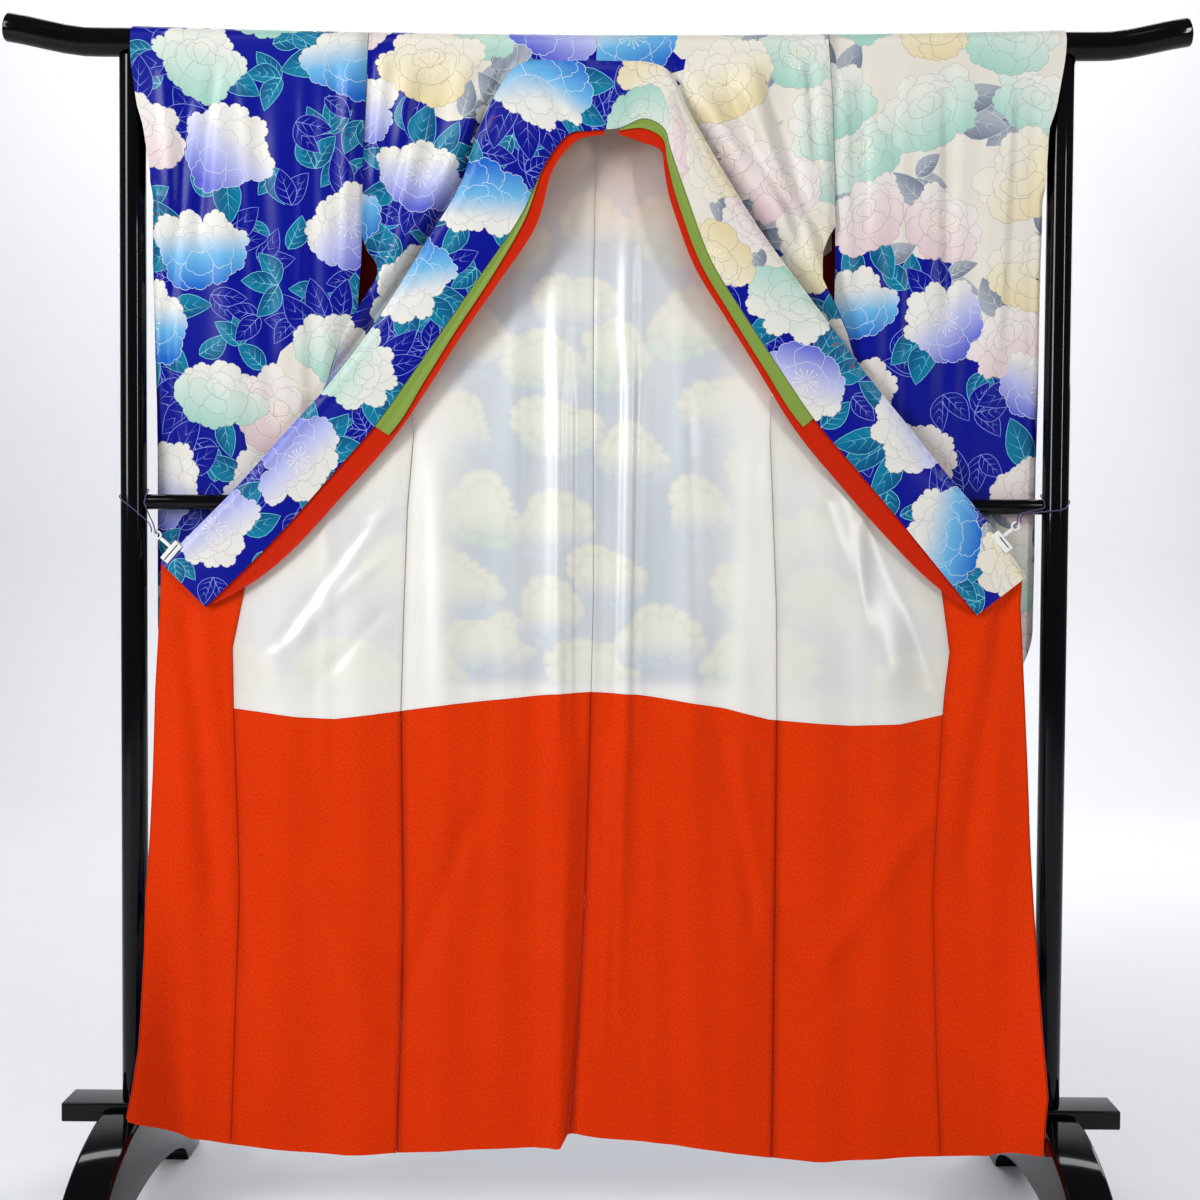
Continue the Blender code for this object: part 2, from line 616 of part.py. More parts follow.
def build_sleeve(side):
    label = "left" if side < 0 else "right"
    rows = 16
    spread = [0.0, 0.025, 0.08, 0.20, 0.36, 0.52, 0.68, 0.84, 0.92, 1.0]
    for layer in ("front", "back"):
        grid = []
        for r in range(rows + 1):
            row = []
            for u in spread:
                x, z = sleeve_point(u, (r / rows) ** 0.95, side, layer)
                if r == 0:
                    z = bar_axis_z(x) - 0.0001
                row.append((x, sleeve_depth(x, z, side, layer), z))
            grid.append(row)
        near = grid
        far = [[(x, y + CLOTH, z) for x, y, z in row] for row in grid]
        angles = (90.0, 120.0, 150.0) if layer == "front" else (90.0, 60.0, 30.0)
        inner, outer = bar_arc([p[0] for p in grid[0]], angles)
        shift = -SEAM_GAP / 2.0 if layer == "front" else SEAM_GAP / 2.0
        inner[0] = [(x, shift, z) for x, y, z in inner[0]]
        outer[0] = [(x, shift, z) for x, y, z in outer[0]]
        if layer == "front":
            wall("sleeve_%s_front" % label, outer + near, inner + far, PRINT_BLUE)
        else:
            wall("sleeve_%s_back" % label, inner + near, outer + far, PRINT_BLUE)
            strip = [row[-3:] for row in grid if 0.80 < row[-1][2] < 1.44]
            grid_wall("sleeve_%s_lining" % label, strip, -LAYER, SLEEVE_RED)


# Collar: one long band with its green inner collar and its red lining beside the free edge
def collar_stations():
    """Smooth stations through the collar's rows."""
    fields = CollarRow._fields
    stations = []
    last = len(COLLAR) - 1
    for i in range(last):
        before = COLLAR[max(0, i - 1)]
        after = COLLAR[min(last, i + 2)]
        for step in range(COLLAR_STEPS):
            t = step / COLLAR_STEPS
            values = {}
            for field in fields:
                a, b, c, d = (getattr(row, field) for row in (before, COLLAR[i], COLLAR[i + 1], after))
                values[field] = 0.5 * (2.0 * b + (c - a) * t + (2.0 * a - 5.0 * b + 4.0 * c - d) * t * t
                                       + (3.0 * b - a - 3.0 * c + d) * t ** 3)
            stations.append(CollarRow(**values))
    stations.append(COLLAR[last])
    return stations


def build_collar():
    stations = collar_stations()
    near = []
    far = []
    for row in stations:
        near_row = []
        far_row = []
        for c in range(COLLAR_COLUMNS + 1):
            t = c / COLLAR_COLUMNS
            x = lerp(row.outer_x, row.inner_x, t)
            z = lerp(row.outer_z, row.inner_z, t)
            y = lerp(row.outer_y, row.inner_y, t) - row.swell * math.sin(math.pi * t)
            near_row.append((x, y, z))
            far_row.append((x, y + CLOTH, z))
        near.append(near_row)
        far.append(far_row)
    wall("collar", near, far, PRINT_BLUE)

    def inner_collar(name, field, setback, first, last, colour_of):
        near = []
        far = []
        for row in stations[first:last + 1]:
            across = Vector((row.inner_x - row.outer_x, 0.0, row.inner_z - row.outer_z)).normalized()
            slope = (row.inner_y - row.outer_y) / 0.094
            reach = max(0.001, getattr(row, field))
            near_row = []
            far_row = []
            for t in (-TRIM_OVERLAP, (reach - TRIM_OVERLAP) / 2.0, reach):
                x = row.inner_x + across.x * t
                z = row.inner_z + across.z * t
                y = row.inner_y + slope * min(0.0, t) + setback
                near_row.append((x, y, z))
                far_row.append((x, y + CLOTH, z))
            near.append(near_row)
            far.append(far_row)
        wall(name, near, far, colour_of)

    step = COLLAR_STEPS
    inner_collar("collar_lining_left", "red", 2.0 * LAYER, 0, 12 * step - 1, COLLAR_RED)
    inner_collar("collar_lining_right", "red", 2.0 * LAYER, 12 * step, 24 * step, COLLAR_RED)
    inner_collar("inner_collar_left", "green", LAYER, 4 * step, 9 * step, TRIM_GREEN)
    inner_collar("inner_collar_right", "green", LAYER, 12 * step, 20 * step, TRIM_GREEN)


# Stand
def tube(name, centres, radius, sides, colour_of):
    """A round bar through centres that lie in a plane of constant y."""
    mesh = bmesh.new()
    rings = []
    for i, centre in enumerate(centres):
        ahead = Vector(centres[min(i + 1, len(centres) - 1)])
        behind = Vector(centres[max(i - 1, 0)])
        along = (ahead - behind).normalized()
        side = Vector((0.0, 1.0, 0.0))
        up = along.cross(side)
        ring = []
        for s in range(sides):
            angle = 2.0 * math.pi * (s + 0.5) / sides
            ring.append(mesh.verts.new(Vector(centre) + radius * (side * math.cos(angle) + up * math.sin(angle))))
        rings.append(ring)
    for first, second in zip(rings, rings[1:]):
        for s in range(sides):
            t = (s + 1) % sides
            mesh.faces.new((first[s], first[t], second[t], second[s]))
    mesh.faces.new(rings[0])
    mesh.faces.new(rings[-1])
    bmesh.ops.recalc_face_normals(mesh, faces=mesh.faces)
    data = bpy.data.meshes.new(name)
    mesh.to_mesh(data)
    mesh.free()
    data.shade_smooth()
    data.set_sharp_from_angle(angle=math.radians(40.0))
    return finish(name, data, colour_of)


def box_mesh(low, high, bevel):
    mesh = bmesh.new()
    bmesh.ops.create_cube(mesh, size=1.0)
    for vert in mesh.verts:
        for axis in range(3):
            vert.co[axis] = lerp(low[axis], high[axis], vert.co[axis] + 0.5)
    if bevel > 0.0:
        bmesh.ops.bevel(mesh, geom=list(mesh.edges), offset=bevel, segments=1, affect="EDGES")
    return mesh


def build_stand():
    steps = 20
    bar = []
    for i in range(steps + 1):
        x = lerp(-BAR_HALF_LENGTH, BAR_HALF_LENGTH, i / steps)
        bar.append((x, 0.0, bar_axis_z(x)))
    tube("top_bar", bar, BAR_RADIUS, 16, LACQUER)
    reach = POST_X - POST_RADIUS - SEAM_GAP
    tube("mid_bar", [(-reach, 0.0, MID_BAR_Z), (reach, 0.0, MID_BAR_Z)], MID_BAR_RADIUS, 16, LACQUER)

    rail = box_mesh((-RAIL_HALF_LENGTH, -RAIL_DEPTH / 2.0, RAIL_TOP - RAIL_HEIGHT),
                    (RAIL_HALF_LENGTH, RAIL_DEPTH / 2.0, RAIL_TOP), 0.003)
    data = bpy.data.meshes.new("base_rail")
    rail.to_mesh(data)
    rail.free()
    finish("base_rail", data, LACQUER)

    for side, label in ((-1, "left"), (1, "right")):
        x = side * POST_X
        top = bar_axis_z(POST_X - POST_RADIUS) - BAR_RADIUS - SEAM_GAP
        tube("post_%s" % label, [(x, 0.0, RAIL_TOP + SEAM_GAP), (x, 0.0, top)], POST_RADIUS, 16, LACQUER)
        build_foot("foot_%s" % label, side * FOOT_X)


def build_foot(name, x):
    """An arched foot: an elliptic back, a notch for the rail, an elliptic arch below."""
    notch = RAIL_DEPTH / 2.0 + SEAM_GAP
    notch_z = RAIL_TOP - RAIL_HEIGHT - SEAM_GAP
    outline = []
    arc_steps = 12
    start = math.acos(notch / FOOT_HALF_LENGTH)
    for i in range(arc_steps + 1):
        angle = start * i / arc_steps
        outline.append((FOOT_HALF_LENGTH * math.cos(angle), FOOT_HEIGHT * math.sin(angle)))
    outline.append((notch, notch_z))
    right = outline[:]
    left = [(-y, z) for y, z in reversed(right)]
    arch = []
    for i in range(arc_steps + 1):
        angle = math.pi * i / arc_steps
        arch.append((-FOOT_ARCH_HALF_LENGTH * math.cos(angle), FOOT_ARCH_HEIGHT * math.sin(angle)))
    outline = right + left + arch
    mesh = bmesh.new()
    face = mesh.faces.new([mesh.verts.new((x - FOOT_WIDTH / 2.0, y, z)) for y, z in outline])
    side = bmesh.ops.extrude_face_region(mesh, geom=[face])
    moved = [item for item in side["geom"] if isinstance(item, bmesh.types.BMVert)]
    bmesh.ops.translate(mesh, verts=moved, vec=(FOOT_WIDTH, 0.0, 0.0))
    bmesh.ops.recalc_face_normals(mesh, faces=mesh.faces)
    rims = [e for e in mesh.edges if abs(e.verts[0].co.x - e.verts[1].co.x) < 1e-6
            and min(e.verts[0].co.z, e.verts[1].co.z) > 0.03
            and max(abs(e.verts[0].co.y), abs(e.verts[1].co.y)) > notch + 0.001]
    rims = [e for e in rims if (e.verts[0].co.y / FOOT_HALF_LENGTH) ** 2
            + (e.verts[0].co.z / FOOT_HEIGHT) ** 2 > 0.9]
    bmesh.ops.bevel(mesh, geom=rims, offset=FOOT_BEVEL, segments=2, affect="EDGES", profile=0.5)
    data = bpy.data.meshes.new(name)
    mesh.to_mesh(data)
    mesh.free()
    data.shade_smooth()
    data.set_sharp_from_angle(angle=math.radians(35.0))
    finish(name, data, LACQUER)


# Clips and cords
def collar_end_depth():
    return COLLAR[0].outer_y


def build_clip(row):
    """A jaw with a C section that grips the collar's edge, and a ring beside it."""
    near = collar_end_depth() - CLIP_PLAY
    back = table(CURTAIN_DEPTH, row.z) + 2.0 * LAYER + CLIP_PLAY
    tangent = Vector((math.cos(row.angle), 0.0, math.sin(row.angle)))
    outward = Vector((-tangent.z, 0.0, tangent.x))
    if outward.x * row.x < 0.0:
        outward = -outward
    centre = Vector((row.x, 0.0, row.z))
    section = [
        (-JAW_REACH, near - JAW_PLATE), (JAW_WALL, near - JAW_PLATE), (JAW_WALL, back + JAW_PLATE),
        (-JAW_REACH, back + JAW_PLATE), (-JAW_REACH, back), (JAW_THROAT, back), (JAW_THROAT, near),
        (-JAW_REACH, near),
    ]
    mesh = bmesh.new()
    ends = []
    for sign in (-0.5, 0.5):
        ends.append([mesh.verts.new(centre + tangent * (sign * JAW_LENGTH) + outward * n + Vector((0, y, 0)))
                     for n, y in section])
    count = len(section)
    for i in range(count):
        j = (i + 1) % count
        mesh.faces.new((ends[0][i], ends[0][j], ends[1][j], ends[1][i]))
    mesh.faces.new(ends[0])
    mesh.faces.new(ends[1])
    bmesh.ops.recalc_face_normals(mesh, faces=mesh.faces)
    data = bpy.data.meshes.new("clip_%s" % row.side)
    mesh.to_mesh(data)
    mesh.free()
    finish("clip_%s" % row.side, data, CLIP_WHITE)
    middle = Vector((row.ring_x, ring_depth(), row.ring_z))
    build_clip_arm(row, tangent, outward, middle)
    build_clip_ring(row, middle)


def build_clip_arm(row, tangent, outward, middle):
    """The flat arm between the jaw's outer wall and the ring."""
    start = Vector((row.x, middle.y, row.z))
    along = (middle - start).dot(tangent)
    reach = (middle - start).dot(outward) - RING_MAJOR - RING_MINOR - SEAM_GAP
    arm = bmesh.new()
    for n in (JAW_WALL + SEAM_GAP, reach):
        for t in (along - ARM_WIDTH / 2.0, along + ARM_WIDTH / 2.0):
            for y in (-JAW_PLATE / 2.0, JAW_PLATE / 2.0):
                arm.verts.new(start + outward * n + tangent * t + Vector((0.0, y, 0.0)))
    bmesh.ops.convex_hull(arm, input=arm.verts)
    bmesh.ops.recalc_face_normals(arm, faces=arm.faces)
    data = bpy.data.meshes.new("clip_arm_%s" % row.side)
    arm.to_mesh(data)
    arm.free()
    finish("clip_arm_%s" % row.side, data, CLIP_WHITE)


def build_clip_ring(row, middle):
    ring = bmesh.new()
    around = 14
    section_sides = 6
    loops = []
    for i in range(around):
        turn = 2.0 * math.pi * i / around
        out = Vector((math.cos(turn), 0.0, math.sin(turn)))
        loop = []
        for s in range(section_sides):
            angle = 2.0 * math.pi * s / section_sides
            loop.append(ring.verts.new(middle + out * (RING_MAJOR + RING_MINOR * math.cos(angle))
                                       + Vector((0.0, RING_MINOR * math.sin(angle), 0.0))))
        loops.append(loop)
    for i in range(around):
        first = loops[i]
        second = loops[(i + 1) % around]
        for s in range(section_sides):
            t = (s + 1) % section_sides
            ring.faces.new((first[s], first[t], second[t], second[s]))
    bmesh.ops.recalc_face_normals(ring, faces=ring.faces)
    data = bpy.data.meshes.new("clip_ring_%s" % row.side)
    ring.to_mesh(data)
    ring.free()
    data.shade_smooth()
    finish("clip_ring_%s" % row.side, data, CLIP_WHITE)


def ring_depth():
    return collar_end_depth() - 0.0002


def smooth_route(points, steps):
    """Points of a smooth curve through the route's own points."""
    route = []
    last = len(points) - 1
    for i in range(last):
        a = Vector(points[max(0, i - 1)])
        b = Vector(points[i])
        c = Vector(points[i + 1])
        d = Vector(points[min(last, i + 2)])
        for step in range(steps):
            t = step / steps
            route.append(0.5 * (2.0 * b + (c - a) * t + (2.0 * a - 5.0 * b + 4.0 * c - d) * t * t
                                + (3.0 * b - a - 3.0 * c + d) * t ** 3))
    route.append(Vector(points[last]))
    return route


def build_tie(row):
    """A cord from the ring, round the post and back to the ring."""
    side = -1.0 if row.x < 0.0 else 1.0
    reach = POST_RADIUS + CORD_RADIUS + 2.0 * SEAM_GAP
    post = side * POST_X
    ring_y = ring_depth()
    hold = RING_MAJOR + RING_MINOR + CORD_RADIUS + SEAM_GAP
    wrap = RING_MINOR + CORD_RADIUS + SEAM_GAP + 0.0001
    ring = Vector((row.ring_x, ring_y, row.ring_z))
    upward = Vector((side * 0.36, 0.0, 0.93)).normalized()

    def through_ring(angle):
        turn = math.radians(angle)
        return ring + upward * (RING_MAJOR + wrap * math.cos(turn)) + Vector((0.0, wrap * math.sin(turn), 0.0))

    def around(angle, z, off=0.0):
        turn = math.radians(angle)
        return (post - side * (reach + off) * math.cos(turn), (reach + off) * math.sin(turn), z)

    points = [
        through_ring(55.0),
        through_ring(105.0),
        through_ring(155.0),
        through_ring(205.0),
        through_ring(255.0),
        through_ring(300.0),
        (row.ring_x + side * 0.0060, ring_y - 0.0015, row.ring_z + hold + 0.0100),
        around(-42.0, 1.0760, 0.0060),
        around(-12.0, 1.0925, 0.0022),
        around(20.0, 1.0955),
        around(50.0, 1.0960),
        around(80.0, 1.0955),
        around(110.0, 1.0940),
        around(140.0, 1.0915),
        around(170.0, 1.0880),
        around(200.0, 1.0840),
        around(230.0, 1.0790),
        around(262.0, 1.0720),
        (row.ring_x + side * 0.0125, -0.0240, row.ring_z + hold + 0.0100),
        (row.ring_x + side * 0.0086, ring_y - 0.0002, row.ring_z + 0.0046),
    ]
    route = smooth_route(points, 2)
    curve = bpy.data.curves.new("tie_%s" % row.side, "CURVE")
    curve.dimensions = "3D"
    curve.bevel_depth = CORD_RADIUS
    curve.bevel_resolution = 2
    curve.use_fill_caps = True
    spline = curve.splines.new("POLY")
    spline.points.add(len(route) - 1)
    for point, place in zip(spline.points, route):
        point.co = (*place, 1.0)
    curve.materials.append(material("tie_%s" % row.side, *CORD_PURPLE))
    made = bpy.data.objects.new("tie_%s" % row.side, curve)
    bpy.context.scene.collection.objects.link(made)


def main():
    for old in list(bpy.data.objects):
        bpy.data.objects.remove(old)
    build_stand()
    for side, name in ((-1, "body_left"), (1, "body_right")):
        back = back_grid(side)
        build_body(name, side, back)
        build_curtain(side, back)
    build_sleeve(-1)
    build_sleeve(1)
    build_collar()
    for row in CLIPS:
        build_clip(row)
        build_tie(row)


main()
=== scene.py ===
"""Furisode kimono, opened over a lacquered stand: cloth, print, linings, clips and stage."""
import math
import random
from collections import namedtuple

import bmesh
import bpy
import numpy as np
from mathutils import Matrix, Vector
from mathutils.geometry import delaunay_2d_cdt


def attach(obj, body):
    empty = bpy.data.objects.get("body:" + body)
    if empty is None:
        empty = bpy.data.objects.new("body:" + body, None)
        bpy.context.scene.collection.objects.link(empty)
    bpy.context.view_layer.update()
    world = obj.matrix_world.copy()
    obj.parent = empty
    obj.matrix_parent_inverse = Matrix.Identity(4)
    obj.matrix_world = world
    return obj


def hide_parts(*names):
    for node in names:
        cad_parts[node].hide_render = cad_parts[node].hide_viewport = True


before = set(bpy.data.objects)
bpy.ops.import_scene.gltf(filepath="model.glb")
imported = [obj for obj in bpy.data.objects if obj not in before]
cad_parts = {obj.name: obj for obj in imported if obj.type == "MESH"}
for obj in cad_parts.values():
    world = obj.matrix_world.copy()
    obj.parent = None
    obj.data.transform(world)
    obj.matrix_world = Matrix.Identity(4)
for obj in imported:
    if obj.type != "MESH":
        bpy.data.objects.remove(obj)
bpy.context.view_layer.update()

bl_info = {
    "name": "Furisode kimono on a stand",
    "version": (1, 0, 0),
    "blender": (4, 5, 0),
    "location": "3D View > Sidebar > Kimono",
    "description": "Dresses the packed kimono with printed silk, linings, stitches and a stage",
    "category": "Object",
}

# Sizes shared with the solids
CLOTH = 0.0012
SEAM_GAP = 0.0003
HALF_GAP = SEAM_GAP / 2.0
LAYER = CLOTH + SEAM_GAP
POST_X = 0.690
POST_RADIUS = 0.0195
BAR_RADIUS = 0.0210
BAR_Z = 1.759
BAR_SAG = 0.010
BAR_HALF_LENGTH = 0.877
BAR_TIP_RISE = 0.022
BAR_TIP_START = 0.745
MID_BAR_Z = 1.077
MID_BAR_RADIUS = 0.0115
RAIL_HALF_LENGTH = 0.793
RAIL_DEPTH = 0.066
RAIL_TOP = 0.1755
RAIL_HEIGHT = 0.0285
FOOT_X = 0.697
FOOT_WIDTH = 0.066
FOOT_HALF_LENGTH = 0.290
FOOT_HEIGHT = 0.167
FOOT_ARCH_HALF_LENGTH = 0.210
FOOT_ARCH_HEIGHT = 0.058
ARMHOLE_Z = 1.455
CUFF_Z = 1.555
SLEEVE_BOTTOM_Z = 0.775
SLEEVE_CORNER = 0.120
SLEEVE_ROUND = 0.014
FURI_OVERLAP_X = 0.312
LINING_TOP_Z = 1.700
DRAPE_RADIUS = BAR_RADIUS + 0.0008
BODY_RADIUS = DRAPE_RADIUS + CLOTH
SLEEVE_RADIUS = 0.0227
TURN_RISE = 0.0006
FALL_Z = 1.744
SLEEVE_DROP = 0.969
CORNER_LEAN = 0.060
SEAM_TUCK = 0.002
SEAM_TUCK_WIDTH = 0.016
ROLL_DEPTH = 0.016
ROLL_WIDTH = 0.034
FLAT_EDGE = 0.010
EASE = 0.0012
HEM_ROLL = 0.003
THICK = 0.0017
VALLEY_DEPTH = 0.0055

# Edges of the robe: z, x on the left side, x on the right side
SLEEVE_SEAM = [(1.780, -0.335, 0.340), (1.670, -0.339, 0.348), (1.597, -0.343, 0.351),
               (1.450, -0.346, 0.355), (1.376, -0.352, 0.355)]
FRONT_BODY_EDGE = [(1.490, -0.346, 0.355), (1.470, -0.345, 0.343), (1.450, -0.338, 0.336),
                   (1.430, -0.322, 0.334), (1.410, -0.320, 0.334), (1.388, -0.335, 0.345),
                   (1.330, -0.370, 0.374), (1.240, -0.404, 0.403)]
SIDE_SEAM = [(1.460, -0.345, 0.354), (1.440, -0.330, 0.330), (1.350, -0.298, 0.290),
             (1.240, -0.273, 0.263), (1.180, -0.269, 0.261), (1.067, -0.278, 0.266),
             (0.933, -0.282, 0.272), (0.767, -0.286, 0.274), (0.483, -0.281, 0.273),
             (0.332, -0.283, 0.272), (0.100, -0.289, 0.271)]
OKUMI_SEAM = [(1.130, -0.505, 0.500), (0.970, -0.515, 0.515), (0.860, -0.537, 0.530),
              (0.770, -0.535, 0.521), (0.590, -0.528, 0.511), (0.485, -0.526, 0.508),
              (0.257, -0.532, 0.515), (0.100, -0.537, 0.523)]
FRONT_EDGE = [(1.020, -0.642, 0.642), (0.980, -0.642, 0.636), (0.930, -0.643, 0.633),
              (0.797, -0.650, 0.640), (0.678, -0.653, 0.646), (0.495, -0.661, 0.654),
              (0.409, -0.659, 0.657), (0.313, -0.659, 0.660), (0.275, -0.660, 0.662),
              (0.214, -0.667, 0.666), (0.175, -0.674, 0.663), (0.100, -0.675, 0.662)]
SLEEVE_EDGE = [(1.780, -0.688, 0.694), (1.727, -0.687, 0.688), (1.662, -0.678, 0.677),
               (1.632, -0.669, 0.667), (1.566, -0.659, 0.664), (1.434, -0.662, 0.664),
               (1.231, -0.660, 0.666), (0.998, -0.661, 0.666), (0.775, -0.661, 0.664)]
CENTRE_SEAM = [(1.780, 0.000), (1.379, -0.003), (0.935, 0.000), (0.677, -0.005),
               (0.485, -0.010), (0.288, -0.020), (0.100, -0.036)]
HEM = [(-0.675, 0.172), (-0.647, 0.157), (-0.598, 0.128), (-0.535, 0.118), (-0.433, 0.108),
       (-0.366, 0.104), (-0.283, 0.107), (-0.209, 0.112), (-0.134, 0.115), (-0.037, 0.120),
       (-0.035, 0.140), (0.015, 0.132), (0.090, 0.127), (0.165, 0.119), (0.269, 0.104),
       (0.344, 0.100), (0.403, 0.103), (0.463, 0.107), (0.590, 0.111), (0.632, 0.123),
       (0.664, 0.129)]
LINING_JOIN = [(-0.537, 0.770), (-0.436, 0.757), (-0.384, 0.755), (-0.287, 0.767),
               (-0.212, 0.778), (-0.138, 0.786), (-0.063, 0.794), (0.000, 0.798),
               (0.071, 0.794), (0.197, 0.775), (0.264, 0.758), (0.383, 0.750),
               (0.458, 0.753), (0.522, 0.767)]
TURNED_TOP = {
    -1: [(-0.643, 0.984), (-0.616, 1.014), (-0.532, 1.088), (-0.436, 1.204),
         (-0.404, 1.230), (-0.340, 1.240), (-0.250, 1.240)],
    1: [(0.240, 1.240), (0.340, 1.240), (0.403, 1.240), (0.451, 1.205),
        (0.520, 1.115), (0.565, 1.070), (0.612, 1.008), (0.643, 0.970)],
}
CURTAIN_DEPTH = [(1.740, 0.0180), (1.460, 0.0178), (1.380, 0.0130), (1.250, -0.0080),
                 (1.150, -0.0175), (1.000, -0.0195), (0.900, -0.0230), (0.500, -0.0320),
                 (0.250, -0.0405), (0.080, -0.0420)]
SLEEVE_FRONT_DEPTH = [(1.760, -0.0227), (1.600, -0.0227), (1.300, -0.0050),
                      (1.140, 0.0135), (0.700, 0.0140)]
SLEEVE_BACK_DEPTH = [(1.760, 0.0215), (1.460, 0.0216), (1.400, 0.0290), (1.100, 0.0340),
                     (0.700, 0.0340)]

# Folds: where the crest starts and ends, how far it comes forward, its width
FoldRow = namedtuple("FoldRow", "x_top x_low z_top z_low depth width")
BACK_FOLDS = [
    FoldRow(-0.052, -0.048, 1.560, 0.110, 0.010, 0.020),
    FoldRow(0.052, 0.044, 1.580, 0.600, 0.008, 0.016),
    FoldRow(-0.120, -0.135, 1.420, 0.300, 0.005, 0.024),
    FoldRow(0.130, 0.165, 1.380, 0.160, 0.007, 0.030),
    FoldRow(-0.215, -0.220, 1.180, 0.120, 0.005, 0.028),
    FoldRow(0.225, 0.212, 1.000, 0.130, 0.004, 0.026),
]
TURNED_FOLDS = [
    FoldRow(-0.350, -0.345, 1.080, 0.110, 0.006, 0.034),
    FoldRow(-0.448, -0.470, 0.980, 0.160, 0.005, 0.032),
    FoldRow(-0.605, -0.600, 0.900, 0.180, 0.006, 0.026),
    FoldRow(0.330, 0.345, 1.100, 0.110, 0.006, 0.034),
    FoldRow(0.450, 0.430, 1.020, 0.160, 0.006, 0.032),
    FoldRow(0.590, 0.605, 0.930, 0.140, 0.006, 0.026),
]
SLEEVE_FOLDS = [
    FoldRow(-0.560, -0.520, 1.740, 0.820, 0.007, 0.026),
    FoldRow(-0.470, -0.450, 1.730, 0.900, 0.006, 0.022),
    FoldRow(-0.395, -0.400, 1.740, 1.050, 0.005, 0.018),
    FoldRow(0.420, 0.410, 1.740, 0.950, 0.005, 0.020),
    FoldRow(0.490, 0.500, 1.730, 0.850, 0.008, 0.024),
    FoldRow(0.590, 0.575, 1.740, 0.900, 0.006, 0.022),
]
SHOULDER_FOLDS = [
    FoldRow(-0.275, -0.285, 1.745, 1.430, 0.008, 0.018),
    FoldRow(-0.190, -0.215, 1.745, 1.560, 0.007, 0.020),
    FoldRow(-0.060, -0.075, 1.745, 1.640, 0.008, 0.022),
    FoldRow(0.020, 0.012, 1.745, 1.640, 0.006, 0.024),
    FoldRow(0.220, 0.275, 1.740, 1.500, 0.014, 0.020),
    FoldRow(0.300, 0.318, 1.745, 1.500, 0.007, 0.016),
]

# Smaller creases that only the dressed cloth has
FINE_CURTAIN = [
    FoldRow(-0.052, -0.050, 1.300, 0.780, 0.0024, 0.008),
    FoldRow(0.058, 0.052, 1.320, 0.760, 0.0022, 0.006),
    FoldRow(0.040, 0.034, 1.340, 0.790, -0.0034, 0.008),
    FoldRow(0.080, 0.072, 1.280, 0.800, 0.0020, 0.007),
    FoldRow(0.006, 0.004, 1.500, 0.820, 0.0020, 0.006),
    FoldRow(-0.034, -0.032, 1.280, 0.800, 0.0018, 0.005),
    FoldRow(-0.120, -0.105, 1.450, 0.800, 0.0022, 0.012),
    FoldRow(0.125, 0.150, 1.450, 0.800, 0.0026, 0.014),
    FoldRow(-0.028, -0.048, 0.780, 0.090, 0.0050, 0.013),
    FoldRow(-0.004, -0.024, 0.760, 0.090, -0.0036, 0.008),
    FoldRow(-0.062, -0.072, 0.760, 0.130, 0.0026, 0.009),
    FoldRow(0.030, 0.020, 0.760, 0.300, 0.0022, 0.008),
    FoldRow(0.048, 0.042, 0.740, 0.350, 0.0018, 0.008),
    FoldRow(-0.614, -0.566, 0.960, 0.520, -0.0055, 0.016),
    FoldRow(-0.585, -0.545, 0.950, 0.600, 0.0030, 0.016),
    FoldRow(0.618, 0.560, 0.985, 0.560, -0.0055, 0.016),
    FoldRow(0.590, 0.530, 0.960, 0.620, 0.0032, 0.018),
    FoldRow(0.190, 0.240, 0.760, 0.480, -0.0045, 0.014),
    FoldRow(0.205, 0.262, 0.740, 0.460, 0.0030, 0.016),
    FoldRow(0.515, 0.350, 0.640, 0.400, 0.0048, 0.024),
    FoldRow(0.275, 0.345, 0.480, 0.330, -0.0036, 0.016),
    FoldRow(-0.530, -0.510, 0.560, 0.380, -0.0030, 0.011),
    FoldRow(-0.420, -0.330, 0.560, 0.300, 0.0042, 0.026),
    FoldRow(-0.170, -0.270, 0.640, 0.360, -0.0046, 0.019),
    FoldRow(-0.165, -0.185, 0.900, 0.500, 0.0020, 0.014),
    FoldRow(0.095, 0.100, 0.700, 0.120, 0.0024, 0.016),
    FoldRow(-0.395, -0.400, 1.100, 0.700, 0.0020, 0.012),
    FoldRow(0.395, 0.400, 1.120, 0.700, 0.0020, 0.012),
    FoldRow(0.318, 0.430, 1.130, 0.830, 0.0150, 0.038),
    FoldRow(0.400, 0.520, 1.080, 0.800, -0.0050, 0.024),
    FoldRow(-0.300, -0.430, 1.080, 0.900, 0.0044, 0.015),
    FoldRow(-0.322, -0.458, 1.060, 0.880, -0.0036, 0.014),
    FoldRow(-0.310, -0.470, 1.000, 0.850, 0.0034, 0.016),
    FoldRow(-0.300, -0.400, 0.930, 0.820, -0.0026, 0.014),
    FoldRow(-0.235, -0.225, 1.180, 0.820, 0.0040, 0.018),
    FoldRow(0.235, 0.225, 1.180, 0.820, 0.0036, 0.018),
]
